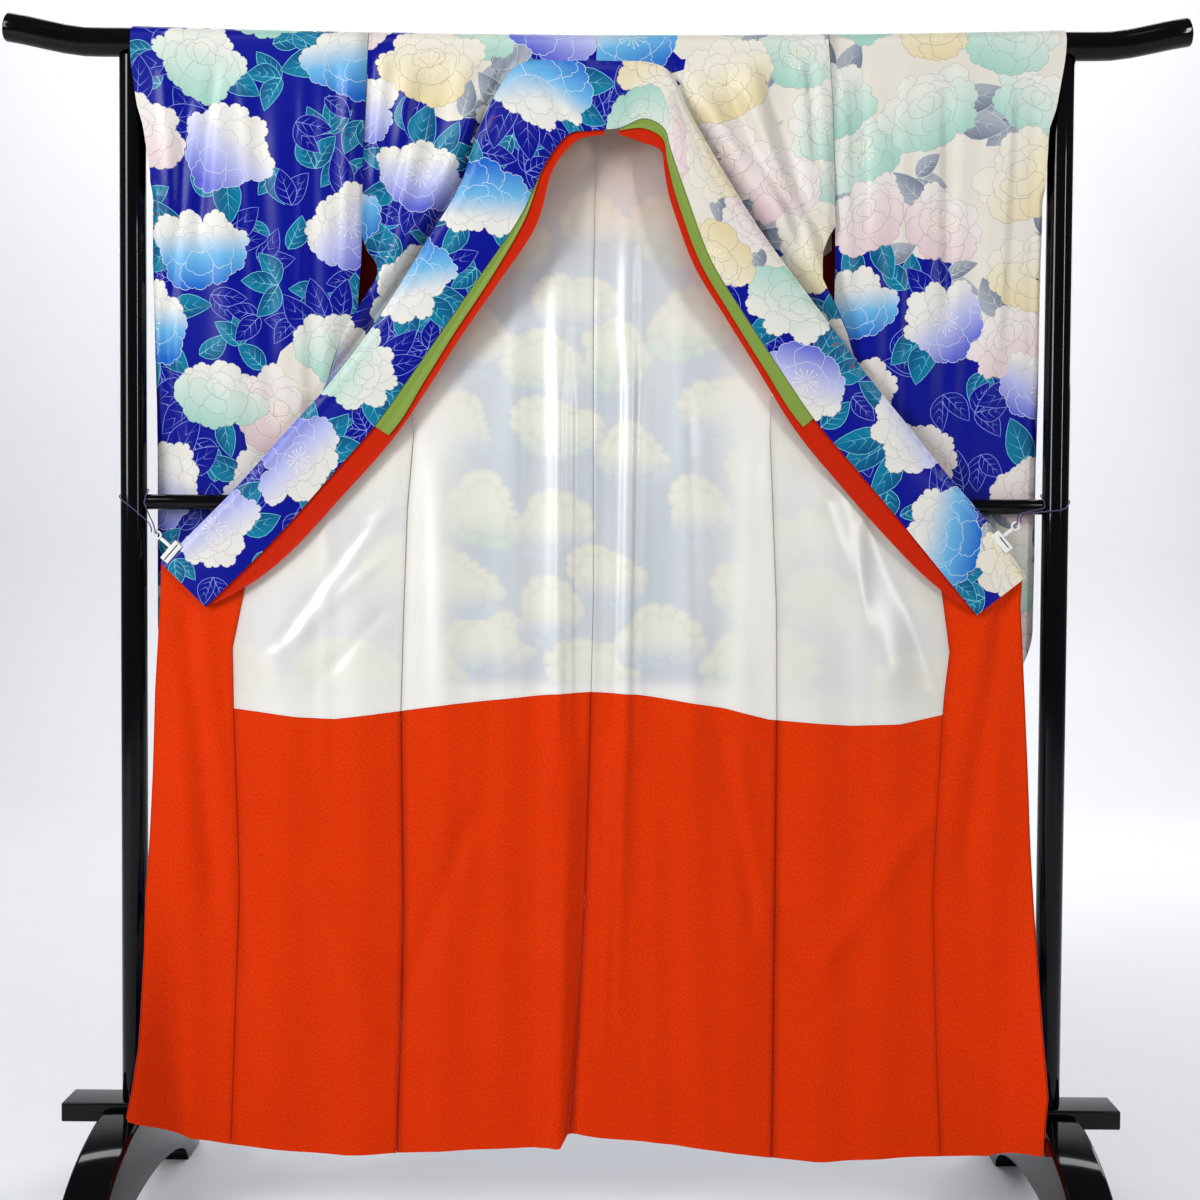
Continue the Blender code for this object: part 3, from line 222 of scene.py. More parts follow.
FINE_SHOULDER = [
    FoldRow(-0.255, -0.335, 1.700, 1.400, -0.0045, 0.009),
    FoldRow(-0.235, -0.315, 1.690, 1.410, 0.0040, 0.010),
    FoldRow(-0.120, -0.215, 1.740, 1.540, -0.0040, 0.010),
    FoldRow(-0.310, -0.325, 1.745, 1.560, 0.0040, 0.009),
    FoldRow(-0.330, -0.338, 1.745, 1.600, -0.0030, 0.008),
    FoldRow(0.180, 0.300, 1.715, 1.470, -0.0048, 0.009),
    FoldRow(0.200, 0.322, 1.715, 1.460, 0.0044, 0.011),
    FoldRow(0.245, 0.345, 1.700, 1.430, -0.0036, 0.009),
    FoldRow(0.110, 0.165, 1.740, 1.640, -0.0036, 0.010),
    FoldRow(0.328, 0.338, 1.745, 1.560, 0.0042, 0.009),
    FoldRow(0.310, 0.322, 1.745, 1.600, -0.0032, 0.008),
]
FINE_SLEEVE = [
    FoldRow(-0.600, -0.640, 1.700, 1.300, -0.0030, 0.010),
    FoldRow(-0.640, -0.625, 1.740, 1.500, 0.0024, 0.010),
    FoldRow(-0.560, -0.590, 1.735, 1.480, -0.0024, 0.010),
    FoldRow(-0.520, -0.500, 1.740, 1.250, 0.0030, 0.012),
    FoldRow(-0.430, -0.440, 1.740, 1.100, 0.0026, 0.010),
    FoldRow(-0.385, -0.392, 1.740, 1.550, -0.0028, 0.009),
    FoldRow(-0.362, -0.372, 1.735, 1.420, 0.0034, 0.009),
    FoldRow(0.362, 0.376, 1.735, 1.420, 0.0034, 0.009),
    FoldRow(0.388, 0.400, 1.740, 1.500, -0.0028, 0.009),
    FoldRow(0.455, 0.450, 1.740, 1.150, 0.0030, 0.010),
    FoldRow(0.515, 0.525, 1.740, 1.400, -0.0026, 0.010),
    FoldRow(0.545, 0.535, 1.740, 1.200, 0.0030, 0.012),
    FoldRow(0.610, 0.600, 1.735, 1.350, 0.0026, 0.010),
    FoldRow(0.645, 0.650, 1.720, 1.300, -0.0026, 0.010),
]

# Collar, from its left end over the neck to its right end
CollarRow = namedtuple("CollarRow", "outer_x outer_z inner_x inner_z outer_y inner_y swell green red")
COLLAR = [
    CollarRow(-0.643, 0.986, -0.575, 0.921, -0.0250, -0.0320, 0.002, 0.000, 0.001),
    CollarRow(-0.588, 1.041, -0.520, 0.974, -0.0250, -0.0330, 0.003, 0.000, 0.022),
    CollarRow(-0.532, 1.098, -0.465, 1.030, -0.0250, -0.0320, 0.004, 0.000, 0.030),
    CollarRow(-0.462, 1.176, -0.398, 1.106, -0.0260, -0.0320, 0.004, 0.000, 0.032),
    CollarRow(-0.404, 1.240, -0.325, 1.190, -0.0260, -0.0320, 0.004, 0.025, 0.033),
    CollarRow(-0.348, 1.311, -0.269, 1.268, -0.0250, -0.0320, 0.005, 0.021, 0.031),
    CollarRow(-0.303, 1.376, -0.222, 1.336, -0.0250, -0.0320, 0.006, 0.017, 0.028),
    CollarRow(-0.244, 1.472, -0.164, 1.420, -0.0250, -0.0330, 0.006, 0.015, 0.028),
    CollarRow(-0.199, 1.548, -0.111, 1.498, -0.0250, -0.0340, 0.006, 0.008, 0.027),
    CollarRow(-0.172, 1.630, -0.076, 1.572, -0.0250, -0.0340, 0.006, 0.000, 0.014),
    CollarRow(-0.118, 1.720, -0.042, 1.617, -0.0250, -0.0340, 0.006, 0.000, 0.014),
    CollarRow(-0.040, 1.728, -0.010, 1.624, -0.0250, -0.0340, 0.004, 0.000, 0.008),
    CollarRow(0.030, 1.728, 0.034, 1.628, -0.0250, -0.0340, 0.004, 0.003, 0.010),
    CollarRow(0.080, 1.726, 0.070, 1.642, -0.0250, -0.0340, 0.004, 0.014, 0.034),
    CollarRow(0.112, 1.708, 0.100, 1.628, -0.0250, -0.0340, 0.006, 0.015, 0.032),
    CollarRow(0.140, 1.650, 0.112, 1.592, -0.0250, -0.0340, 0.007, 0.015, 0.026),
    CollarRow(0.198, 1.552, 0.138, 1.520, -0.0250, -0.0340, 0.008, 0.016, 0.026),
    CollarRow(0.250, 1.473, 0.170, 1.438, -0.0250, -0.0330, 0.008, 0.016, 0.026),
    CollarRow(0.302, 1.404, 0.216, 1.364, -0.0250, -0.0320, 0.006, 0.017, 0.026),
    CollarRow(0.355, 1.334, 0.266, 1.289, -0.0250, -0.0320, 0.005, 0.019, 0.028),
    CollarRow(0.403, 1.270, 0.324, 1.205, -0.0260, -0.0320, 0.004, 0.020, 0.032),
    CollarRow(0.464, 1.196, 0.388, 1.130, -0.0260, -0.0320, 0.004, 0.000, 0.033),
    CollarRow(0.526, 1.121, 0.450, 1.058, -0.0250, -0.0320, 0.004, 0.000, 0.031),
    CollarRow(0.588, 1.050, 0.512, 0.983, -0.0250, -0.0330, 0.003, 0.000, 0.022),
    CollarRow(0.642, 0.973, 0.568, 0.916, -0.0250, -0.0320, 0.002, 0.000, 0.001),
]
COLLAR_WIDTH = 0.094
NECK_ROW = 12
TRIM_OVERLAP = 0.010


# Forms of the cloth: every function takes numpy arrays of places
def ramp(low, high, value):
    """Smooth step from 0 at low to 1 at high."""
    t = np.clip((value - low) / (high - low), 0.0, 1.0)
    return t * t * (3.0 - 2.0 * t)


def lerp(a, b, t):
    return a + (b - a) * t


def table(rows, value):
    rows = sorted(rows)
    return np.interp(value, [row[0] for row in rows], [row[1] for row in rows])


def edge(rows, z, side):
    column = 1 if side < 0 else 2
    return table([(row[0], row[column]) for row in rows], z)


def folds(rows, x, z):
    total = np.zeros(np.broadcast(x, z).shape)
    for row in rows:
        t = (row.z_top - z) / (row.z_top - row.z_low)
        middle = lerp(row.x_top, row.x_low, np.clip(t, 0.0, 1.0))
        fade = ramp(0.0, 0.18, t) * (1.0 - ramp(0.95, 1.25, t))
        total = total + row.depth * fade * np.exp(-((x - middle) / row.width) ** 2)
    return total


def waves(x, z, scale, seed):
    """Gentle uneven ripples between -1 and 1."""
    rnd = random.Random(seed)
    total = 0.0
    for _ in range(5):
        angle = rnd.uniform(-0.9, 0.9)
        pitch = rnd.uniform(0.7, 1.6) * 2.0 * math.pi / scale
        total = total + np.sin((x * math.cos(angle) + 0.35 * z * math.sin(angle)) * pitch + rnd.uniform(0, 6.28))
    return total / 5.0


def bar_axis_z(x):
    side = np.abs(x)
    low = BAR_Z - BAR_SAG * (1.0 - (side / POST_X) ** 2)
    high = BAR_Z + BAR_TIP_RISE * ramp(BAR_TIP_START, BAR_HALF_LENGTH + 0.03, side) * 1.1
    return np.where(side <= POST_X, low, high)


def near_edge(rows, x, z):
    """Where the line of the same side lies."""
    return np.where(x < 0, edge(rows, z, -1), edge(rows, z, 1))


def seam_lines(x, z, okumi, centre):
    """Each seam of the linings, and how strongly it shows."""
    low = 1.0 - ramp(1.15, 1.25, z)
    return ((near_edge(SIDE_SEAM, x, z), low), (near_edge(OKUMI_SEAM, x, z), okumi * low),
            (table(CENTRE_SEAM, z), centre))


def curtain(x, z):
    """Camera side of the linings that hang behind the open front."""
    lines = seam_lines(x, z, 0.7, 0.8)
    seam, low = lines[0]
    tuck = SEAM_TUCK * np.exp(-(np.abs(x - seam) / SEAM_TUCK_WIDTH) ** 2) * low
    lean = CORNER_LEAN * ramp(0.600, 0.680, np.abs(x)) * (1.0 - ramp(0.20, 0.60, z))
    y = table(CURTAIN_DEPTH, z) + tuck - lean - folds(BACK_FOLDS, x, z) - folds(TURNED_FOLDS, x, z)
    for line, share in lines:
        past = x - line
        y = y + share * np.where(past > 0.0, 0.0012 * np.exp(-past / 0.007), -0.0004 * np.exp(-(past / 0.006) ** 2))
    return y - folds(FINE_CURTAIN, x, z) - 0.0005 * waves(x, z, 0.11, 4)


COLLAR_STEPS = 8


def collar_arrays():
    """Dense rows of the collar through its table, and the length along it at each."""
    rows = np.array(COLLAR[:1] + COLLAR + COLLAR[-1:])
    dense = []
    for i in range(len(COLLAR) - 1):
        a, b, c, d = rows[i:i + 4]
        for t in (step / COLLAR_STEPS for step in range(COLLAR_STEPS)):
            dense.append(0.5 * (2.0 * b + (c - a) * t + (2.0 * a - 5.0 * b + 4.0 * c - d) * t * t
                                + (3.0 * b - a - 3.0 * c + d) * t ** 3))
    dense.append(rows[-1])
    dense = np.array(dense)
    middle = (dense[:, 0:2] + dense[:, 2:4]) / 2.0
    length = np.concatenate([[0.0], np.cumsum(np.linalg.norm(np.diff(middle, axis=0), axis=1))])
    return dense, length


COLLAR_ROWS, COLLAR_LENGTH = collar_arrays()


def collar_seam(x):
    rows = [(row[0], row[1]) for row in COLLAR_ROWS if abs(row[0]) < 0.45]
    return table(rows, x)


def shoulder_depth(x, z):
    """Camera side of the front body under the bar."""
    drop = bar_axis_z(x) - z
    above = z - collar_seam(x) - FLAT_EDGE
    swell = np.where(x > 0, ROLL_DEPTH, ROLL_DEPTH * 0.6) * ramp(0.03, 0.12, drop) * ramp(0.0, 0.030, above)
    swell = swell * np.exp(-((above - 0.045) / ROLL_WIDTH) ** 2)
    fade = ramp(0.0, 0.03, above)
    fine = folds(FINE_SHOULDER, x, z) * fade + 0.0006 * waves(x, z, 0.08, 9) * fade * ramp(0.0, 0.05, drop)
    dip = VALLEY_DEPTH * np.exp(-((above - 0.002) / 0.011) ** 2) * ramp(0.0, 0.03, drop)
    return -DRAPE_RADIUS - CLOTH - swell - folds(SHOULDER_FOLDS, x, z) * fade - fine + dip


def over_bar(u, v, radius, front, back):
    """Cloth that hangs in front, turns over the bar and hangs behind: u is x, v runs along it."""
    axis = bar_axis_z(u)
    arc = math.pi * radius
    angle = np.clip(v / arc, 0.0, 1.0) * math.pi
    z_front = axis + np.minimum(v, 0.0)
    z_back = axis - np.maximum(v - arc, 0.0)
    y = np.where(v < 0.0, front(u, z_front), np.where(v > arc, back(u, z_back), -radius * np.cos(angle)))
    z = np.where(v < 0.0, z_front, np.where(v > arc, z_back, axis + (radius + TURN_RISE) * np.sin(angle)))
    return np.stack([u, y, z], axis=-1)


def back_depth(x, z):
    """Outer face of the body behind the linings."""
    share = ramp(LINING_TOP_Z, LINING_TOP_Z + 0.03, z)
    ease = EASE * (1.0 - ramp(1.36, 1.43, z))
    return lerp(curtain(x, z) + LAYER + ease, DRAPE_RADIUS, share) + CLOTH


def body_form(u, v):
    return over_bar(u, v, BODY_RADIUS, shoulder_depth, back_depth)


def sleeve_half_depth(x, z, side):
    """0 at the sewn outer edge and bottom, 1 inside the sleeve."""
    outer = np.abs(edge(SLEEVE_EDGE, z, side))
    to_edge = np.maximum(0.0, outer - np.abs(x))
    to_bottom = np.maximum(0.0, z - SLEEVE_BOTTOM_Z)
    corner_x = outer - SLEEVE_CORNER
    corner_z = SLEEVE_BOTTOM_Z + SLEEVE_CORNER
    in_corner = (np.abs(x) > corner_x) & (z < corner_z)
    reach = np.hypot(np.abs(x) - corner_x, corner_z - z)
    to_corner = np.maximum(0.0, SLEEVE_CORNER - reach)
    to_edge = np.where(in_corner, to_corner, to_edge)
    to_bottom = np.where(in_corner, to_corner, to_bottom)
    open_cuff = ramp(CUFF_Z - 0.03, CUFF_Z, z)
    side_round = np.sqrt(np.maximum(0.0, 1.0 - (1.0 - np.minimum(1.0, to_edge / SLEEVE_ROUND)) ** 2))
    low_round = np.sqrt(np.maximum(0.0, 1.0 - (1.0 - np.minimum(1.0, to_bottom / SLEEVE_ROUND)) ** 2))
    return np.minimum(lerp(side_round, 1.0, open_cuff), low_round)


def crease_step(x, z, side):
    low, high, depth = (0.655, 0.598, 0.005) if side < 0 else (0.662, 0.640, 0.003)
    line = lerp(low, high, (1.560 - z) / 0.470)
    return depth * ramp(line, line + 0.018, np.abs(x)) * (1.0 - ramp(1.46, 1.54, z))


def sleeve_depth(x, z, side, layer):
    """Outer face of a sleeve's front or back wall."""
    fine = 1.4 * folds(FINE_SLEEVE, x, z) + 0.0006 * waves(x, z, 0.09, 21) * ramp(0.0, 0.06, BAR_Z - z)
    front = table(SLEEVE_FRONT_DEPTH, z) - folds(SLEEVE_FOLDS, x, z) * ramp(1.12, 1.25, z)
    front = front + crease_step(x, z, side) - fine * ramp(1.12, 1.25, z)
    back = table(SLEEVE_BACK_DEPTH, z) + 0.8 * folds(SLEEVE_FOLDS, x, z) * ramp(0.0, 0.08, ARMHOLE_Z - z)
    back = back + fine * 0.7 * ramp(0.0, 0.08, ARMHOLE_Z - z)
    middle = (table(SLEEVE_FRONT_DEPTH, z) + table(SLEEVE_BACK_DEPTH, z) + CLOTH) / 2.0
    share = sleeve_half_depth(x, z, side)
    if layer == "front":
        return lerp(middle - CLOTH - SEAM_GAP / 2.0, front, share)
    return lerp(middle + SEAM_GAP / 2.0, back, share) + CLOTH


def sleeve_form(side):
    def form(u, v):
        return over_bar(u, v, SLEEVE_RADIUS, lambda x, z: sleeve_depth(x, z, side, "front"),
                        lambda x, z: sleeve_depth(x, z, side, "back"))
    return form


def curtain_form(shift):
    def form(u, v):
        return np.stack([u, curtain(u, v) + shift, v], axis=-1)
    return form


NECK_FOLDS = [(0.765, 0.0030, 0.012), (0.835, 0.0036, 0.016), (0.915, -0.0030, 0.010),
              (0.700, -0.0016, 0.012), (1.010, 0.0018, 0.014)]


def collar_form(u, v):
    """Outer face of the collar: u runs along it, v across it from its sewn edge."""
    rows = [np.interp(u, COLLAR_LENGTH, COLLAR_ROWS[:, i]) for i in range(7)]
    outer_x, outer_z, inner_x, inner_z, outer_y, inner_y, swell = rows
    t = v / COLLAR_WIDTH
    x = lerp(outer_x, inner_x, t)
    z = lerp(outer_z, inner_z, t)
    y = lerp(outer_y, inner_y, t) - swell * np.sin(math.pi * np.clip(t, 0.0, 1.0))
    y = y + 0.0016 * np.exp(-(t / 0.035) ** 2) - 0.0018 * np.exp(-((t - 0.13) / 0.08) ** 2)
    middle = np.sin(math.pi * np.clip(t, 0.0, 1.0)) ** 0.5
    for place, depth, width in NECK_FOLDS:
        y = y - depth * np.exp(-((u - place) / width) ** 2) * middle
    y = y - 0.0005 * waves(u, v * 2.0, 0.10, 31) * middle
    return np.stack([x, y, z], axis=-1)


def trim_form(column, setback, rib=0.0):
    """Strip beside the collar's free edge: v is the distance past that edge."""
    def form(u, v):
        rows = [np.interp(u, COLLAR_LENGTH, COLLAR_ROWS[:, i]) for i in range(9)]
        outer_x, outer_z, inner_x, inner_z, outer_y, inner_y = rows[:6]
        dx, dz = inner_x - outer_x, inner_z - outer_z
        size = np.hypot(dx, dz)
        reach = np.maximum(0.001, rows[column])
        past = np.where(v > 0.0, v * reach, v * TRIM_OVERLAP)
        slope = (inner_y - outer_y) / COLLAR_WIDTH
        x = inner_x + dx / size * past
        z = inner_z + dz / size * past
        y = inner_y + slope * np.minimum(0.0, past) + setback
        y = y - 0.0010 * np.exp(-((v - 0.97) / 0.05) ** 2) - rib * np.sin(v * 2.0 * math.pi * 1.5) * (v > 0)
        return np.stack([x, y, z], axis=-1)
    return form


# Print: petals, leaves and clouds as outlines in the flat cloth
Paint = namedtuple("Paint", "centre turn size first second third inner inner_size shade")


def srgb(r, g, b):
    """Linear colour from the 0 to 255 values seen in a picture."""
    return tuple(((c / 255.0 + 0.055) / 1.055) ** 2.4 if c > 10.3 else c / 255.0 / 12.92 for c in (r, g, b))


# Each flower: its first, middle and last colour, and the fine line round its petals
WHITE = srgb(224, 221, 213)
PALETTES = {
    "sky": (WHITE, srgb(100, 172, 216), srgb(8, 96, 190), srgb(192, 210, 226), 0.28),
    "lavender": (WHITE, srgb(174, 180, 222), srgb(88, 98, 198), srgb(204, 206, 226), 0.28),
    "lemon": (srgb(223, 219, 207), srgb(222, 213, 184), srgb(218, 203, 158), srgb(170, 161, 144), 0.75),
    "rose": (srgb(223, 218, 213), srgb(221, 206, 204), srgb(214, 191, 195), srgb(168, 158, 158), 0.75),
    "mint": (srgb(222, 221, 213), srgb(192, 213, 202), srgb(152, 198, 184), srgb(152, 170, 164), 0.80),
}
DEEP_BLUE = srgb(0, 12, 136)
CREAM = srgb(218, 213, 201)


class Print:
    """Collects the motifs of one piece of cloth: outlines with a paint each."""

    def __init__(self, seed):
        self.rnd = random.Random(seed)
        self.shapes = []
        self.paints = []

    def add(self, points, centre, turn, size, first, second, third, inner=(0, 0), inner_size=1.0, shade=0.0):
        self.shapes.append(points if winding(points) > 0 else points[::-1])
        self.paints.append(Paint(centre, turn, size, first, second, third, inner, inner_size, shade))

    def flat(self, points, colour):
        self.add(points, (0, 0), (1, 0), 1.0, colour, colour, colour)

    def petal(self, base, angle, length, width, lobes, look):
        """One petal with a lobed rim: a thin line round it and its fill."""
        rnd = self.rnd
        half = width / 2.0
        local = [(-0.10 * half, 0.0), (0.10 * half, 0.0), (0.62 * half, 0.32 * length), (0.93 * half, 0.56 * length)]
        steps = []
        for lobe in range(lobes):
            steps += [(lobe + part) / lobes for part in (0.0, 0.16, 0.5, 0.84)]
        steps.append(1.0)
        notch = rnd.uniform(0.09, 0.18)
        for q in steps:
            turn = math.pi * (0.5 - q)
            swell = 1.0 - notch + notch * abs(math.sin(math.pi * lobes * q)) ** 0.55
            local.append((half * math.sin(turn) * swell, length * (0.62 + 0.38 * math.cos(turn) * swell)))
        local += [(-0.93 * half, 0.56 * length), (-0.62 * half, 0.32 * length)]
        c, s = math.cos(angle), math.sin(angle)
        points = [(base[0] + a * s + b * c, base[1] - a * c + b * s) for a, b in local]
        centre, size, turn, palette, line = look
        edge_line = palette[3]
        grey = tuple(0.62 * w for w in WHITE)
        self.add(points, centre, turn, size, grey, edge_line, edge_line)
        tip = (base[0] + length * c, base[1] + length * s)
        self.add(inset(points, line), centre, turn, size, *palette[:3],
                 inner=tip, inner_size=length, shade=palette[4] * rnd.uniform(0.55, 1.25))

    def peony(self, x, y, radius, palette, rich=True):
        """A full flower seen a little from the side: a ruffled fan above, wide petals below, a cup between."""
        rnd = self.rnd
        tilt = rnd.uniform(-0.85, 0.85)
        c, s = math.cos(tilt), math.sin(tilt)
        wide, tall = rnd.uniform(0.94, 1.16), rnd.uniform(0.82, 1.02)
        fade = rnd.uniform(-0.25, 0.25) - tilt - 0.5 * math.pi
        look = ((x, y), radius * 0.92, (math.cos(fade), math.sin(fade)), PALETTES[palette], 0.0008)
        rows = [((162, 18, 134, 46, 106, 74), -0.12, 1.00, 0.60, 4), ((196, 344, 232, 308, 270), 0.02, 0.94, 0.74, 4),
                ((146, 34, 90), -0.14, 0.74, 0.62, 4), ((208, 332, 270), 0.10, 0.62, 0.66, 3),
                ((128, 52, 90), -0.08, 0.44, 0.40, 3)]
        if not rich:
            rows = [rows[0], rows[1], rows[2]]
        for angles, drop, share, width, lobes in rows:
            base = (x + radius * drop * s, y + radius * drop * c)
            for degrees in angles:
                angle = math.radians(degrees + rnd.uniform(-9.0, 9.0))
                reach = wide * abs(math.cos(angle)) ** 2 + tall * abs(math.sin(angle)) ** 2
                length = radius * share * reach * rnd.uniform(0.84, 1.13)
                self.petal(base, angle - tilt, length, radius * width * rnd.uniform(0.88, 1.15),
                           lobes + rnd.choice((0, 0, 1)), look)
        if rnd.random() < 0.55:
            self.stamens(x - 0.04 * radius * s, y - 0.04 * radius * c, radius * 0.26)

    def stamens(self, x, y, reach):
        rnd = self.rnd
        gold = srgb(250, 240, 200)
        for i in range(13):
            angle = 2.0 * math.pi * i / 13 + rnd.uniform(-0.1, 0.1)
            c, s = math.cos(angle), math.sin(angle)
            far = reach * rnd.uniform(0.75, 1.1)
            self.flat([(x + 0.3 * far * c - 0.0003 * s, y + 0.3 * far * s + 0.0003 * c),
                       (x + 0.3 * far * c + 0.0003 * s, y + 0.3 * far * s - 0.0003 * c),
                       (x + far * c + 0.0003 * s, y + far * s - 0.0003 * c),
                       (x + far * c - 0.0003 * s, y + far * s + 0.0003 * c)], gold)
            self.flat([(x + far * c + 0.0010 * math.cos(a), y + far * s + 0.0010 * math.sin(a))
                       for a in (0.3, 1.5, 2.8, 4.0, 5.3)], gold)

    def leaf(self, x, y, angle, length, tone):
        """A broad pointed leaf with a midrib and side veins."""
        rnd = self.rnd
        width = length * rnd.uniform(0.50, 0.60)
        bend = rnd.uniform(-0.12, 0.12) * length
        c, s = math.cos(angle), math.sin(angle)

        def place(a, b):
            a = a + bend * math.sin(math.pi * b / length)
            return (x + a * s + b * c, y - a * c + b * s)

        def half_width(t):
            return width * 0.5 * math.sin(math.pi * t ** 0.80) ** 0.85 if 0.0 < t < 1.0 else 0.0

        steps = (0.10, 0.24, 0.40, 0.57, 0.73, 0.88)
        rim = [place(0.0, 0.0)] + [place(half_width(t), t * length) for t in steps] + [place(0.0, length)]
        rim += [place(-half_width(t), t * length) for t in reversed(steps)]
        line, dark, light = tone
        self.flat(rim, line)
        self.add(inset(rim, 0.0008), place(0.0, 0.5 * length), (s, -c), width * 0.6, light,
                 tuple((p + q) / 2 for p, q in zip(light, dark)), dark)
        self.flat([place(0.0006, 0.0), place(0.0, 0.96 * length), place(-0.0006, 0.0)], line)
        for t in (0.18, 0.38, 0.58):
            for side in (-1.0, 1.0):
                tip = min(0.93, t + 0.22)
                self.flat([place(0.0, t * length - 0.0005), place(half_width(tip) * 0.88 * side, tip * length),
                           place(0.0, t * length + 0.0007)], line)

    def cloud(self, x, y, radius, lobes):
        rnd = self.rnd
        start = rnd.uniform(0.0, 6.28)
        points = []
        for lobe in range(lobes):
            size = rnd.uniform(0.94, 1.06)
            for part in (0.0, 0.2, 0.5, 0.8):
                q = (lobe + part) / lobes
                r = radius * size * (0.88 + 0.12 * abs(math.sin(math.pi * part)) ** 0.6)
                points.append((x + r * math.cos(start + 2 * math.pi * q), y + r * math.sin(start + 2 * math.pi * q)))
        self.flat(points, CREAM)


def winding(points):
    """Twice the area inside an outline, negative where it runs clockwise."""
    return sum(ax * by - bx * ay for (ax, ay), (bx, by) in zip(points, points[1:] + points[:1]))


def inset(points, amount):
    """Outline moved inwards by amount."""
    sign = 1.0 if winding(points) > 0 else -1.0
    moved = []
    count = len(points)
    for i, (x, y) in enumerate(points):
        ax, ay = points[i - 1]
        bx, by = points[(i + 1) % count]
        dx, dy = bx - ax, by - ay
        size = math.hypot(dx, dy) or 1.0
        moved.append((x - sign * dy / size * amount, y + sign * dx / size * amount))
    return moved


# Leaves: their fine lines, then the darker and the lighter side
LEAF_TEAL = (srgb(122, 196, 210), srgb(0, 72, 122), srgb(4, 116, 150))
LEAF_BLUE = (srgb(130, 146, 218), DEEP_BLUE, DEEP_BLUE)
LEAF_SLATE = (srgb(206, 207, 204), srgb(104, 115, 134), srgb(158, 166, 176))


TRIES = 2600
ON_CLOUDS = ("lemon", "rose", "mint")
ON_BLUE = ("sky", "sky", "sky", "lavender", "lavender", "sky", "lavender", "rose", "mint")


def touches(x, y, rounds, share=1.0):
    """Whether a place lies in one of some rounds, each a place with a radius."""
    return any((x - a) ** 2 + (y - b) ** 2 < (share * radius) ** 2 for a, b, radius, *_ in rounds)


def scatter(rnd, low, high, spacing, keep=None):
    """Evenly spread places, at least spacing apart."""
    places = []
    for _ in range(TRIES):
        x = rnd.uniform(low[0], high[0])
        y = rnd.uniform(low[1], high[1])
        if (keep is None or keep(x, y)) and all((x - a) ** 2 + (y - b) ** 2 > spacing ** 2 for a, b in places):
            places.append((x, y))
    return places


def printed(seed, low, high, spacing, clouds=(), rich=True):
    """The print of one piece: clouds, then leaves, then flowers."""
    design = Print(seed)
    rnd = design.rnd
    for x, y, radius in clouds:
        design.cloud(x, y, radius, max(7, int(radius * 95)))
    flowers = []
    for x, y in scatter(rnd, low, high, spacing):
        palette = rnd.choice(ON_CLOUDS + ("lemon", "mint") if touches(x, y, clouds, 0.96) else ON_BLUE)
        flowers.append((x, y, spacing * rnd.uniform(0.50, 0.60), palette))
    between = scatter(rnd, low, high, spacing * 0.66,
                      lambda x, y: touches(x, y, clouds, 0.86) and not touches(x, y, flowers, 1.25))
    flowers = [(x, y, spacing * rnd.uniform(0.46, 0.54), rnd.choice(ON_CLOUDS)) for x, y in between] + flowers

    def leaf_at(x, y, angle, length, filled):
        c, s = length * math.cos(angle), length * math.sin(angle)
        if not touches(x + 0.9 * c, y + 0.9 * s, flowers, 0.78):
            pale = touches(x + 0.6 * c, y + 0.6 * s, clouds, 0.95)
            design.leaf(x, y, angle, length, LEAF_SLATE if pale else LEAF_TEAL if filled else LEAF_BLUE)

    gaps = scatter(rnd, low, high, spacing * (0.36 if rich else 0.42),
                   lambda x, y: not touches(x, y, flowers, 0.90))
    for x, y in gaps:
        if touches(x, y, clouds) and rnd.random() < 0.72:
            continue
        start = rnd.uniform(0.0, 6.28)
        filled = rnd.random() < 0.5
        for i in range(rnd.choice((2, 3))):
            angle = start + i * rnd.uniform(0.7, 1.0)
            leaf_at(x, y, angle, spacing * rnd.uniform(0.36, 0.44), filled)
    for x, y, radius, _ in flowers:
        start = rnd.uniform(0.0, 6.28)
        for cluster in range(1 if touches(x, y, clouds) else rnd.choice((2, 2, 3))):
            filled = rnd.random() < 0.66
            turn = start + cluster * rnd.uniform(1.9, 2.3)
            for i in range(rnd.choice((2, 3))):
                angle = turn + i * rnd.uniform(0.42, 0.62)
                leaf_at(x + 0.50 * radius * math.cos(angle), y + 0.50 * radius * math.sin(angle), angle,
                        radius * rnd.uniform(0.92, 1.12), filled)
    for x, y, radius, palette in flowers:
        design.peony(x, y, radius, palette, rich)
    return design


# Pieces
def link(name, data, *materials):
    """A new object in the scene, with its materials."""
    for material in materials:
        data.materials.append(material)
    made = bpy.data.objects.new(name, data)
    bpy.context.scene.collection.objects.link(made)
    return made


def mesh_of(name, work, sharp=180.0):
    """The finished mesh of a bmesh, smooth but for edges sharper than an angle in degrees."""
    mesh = bpy.data.meshes.new(name)
    work.to_mesh(mesh)
    work.free()
    mesh.shade_smooth()
    if sharp < 180.0:
        mesh.set_sharp_from_angle(angle=math.radians(sharp))
    return mesh


def inside(polygon, points):
    """Which points lie in a polygon, by crossings."""
    x, y = points[:, 0], points[:, 1]
    result = np.zeros(len(points), bool)
    after = np.roll(polygon, -1, axis=0)
    slanted = polygon[:, 1] != after[:, 1]
    starts, ends = polygon[slanted], after[slanted]
    for first in range(0, len(starts), 48):
        (ax, ay), (bx, by) = (part[first:first + 48].T[:, :, None] for part in (starts, ends))
        cross = ((ay > y) != (by > y)) & (x < (bx - ax) * (y - ay) / (by - ay) + ax)
        result ^= np.logical_xor.reduce(cross, axis=0)
    return result


def densify(points, step):
    """Points along a closed outline, none further apart than step."""
    out = []
    for (ax, ay), (bx, by) in zip(points, points[1:] + points[:1]):
        count = max(1, int(math.hypot(bx - ax, by - ay) / step))
        for i in range(count):
            out.append((ax + (bx - ax) * i / count, ay + (by - ay) * i / count))
    return out


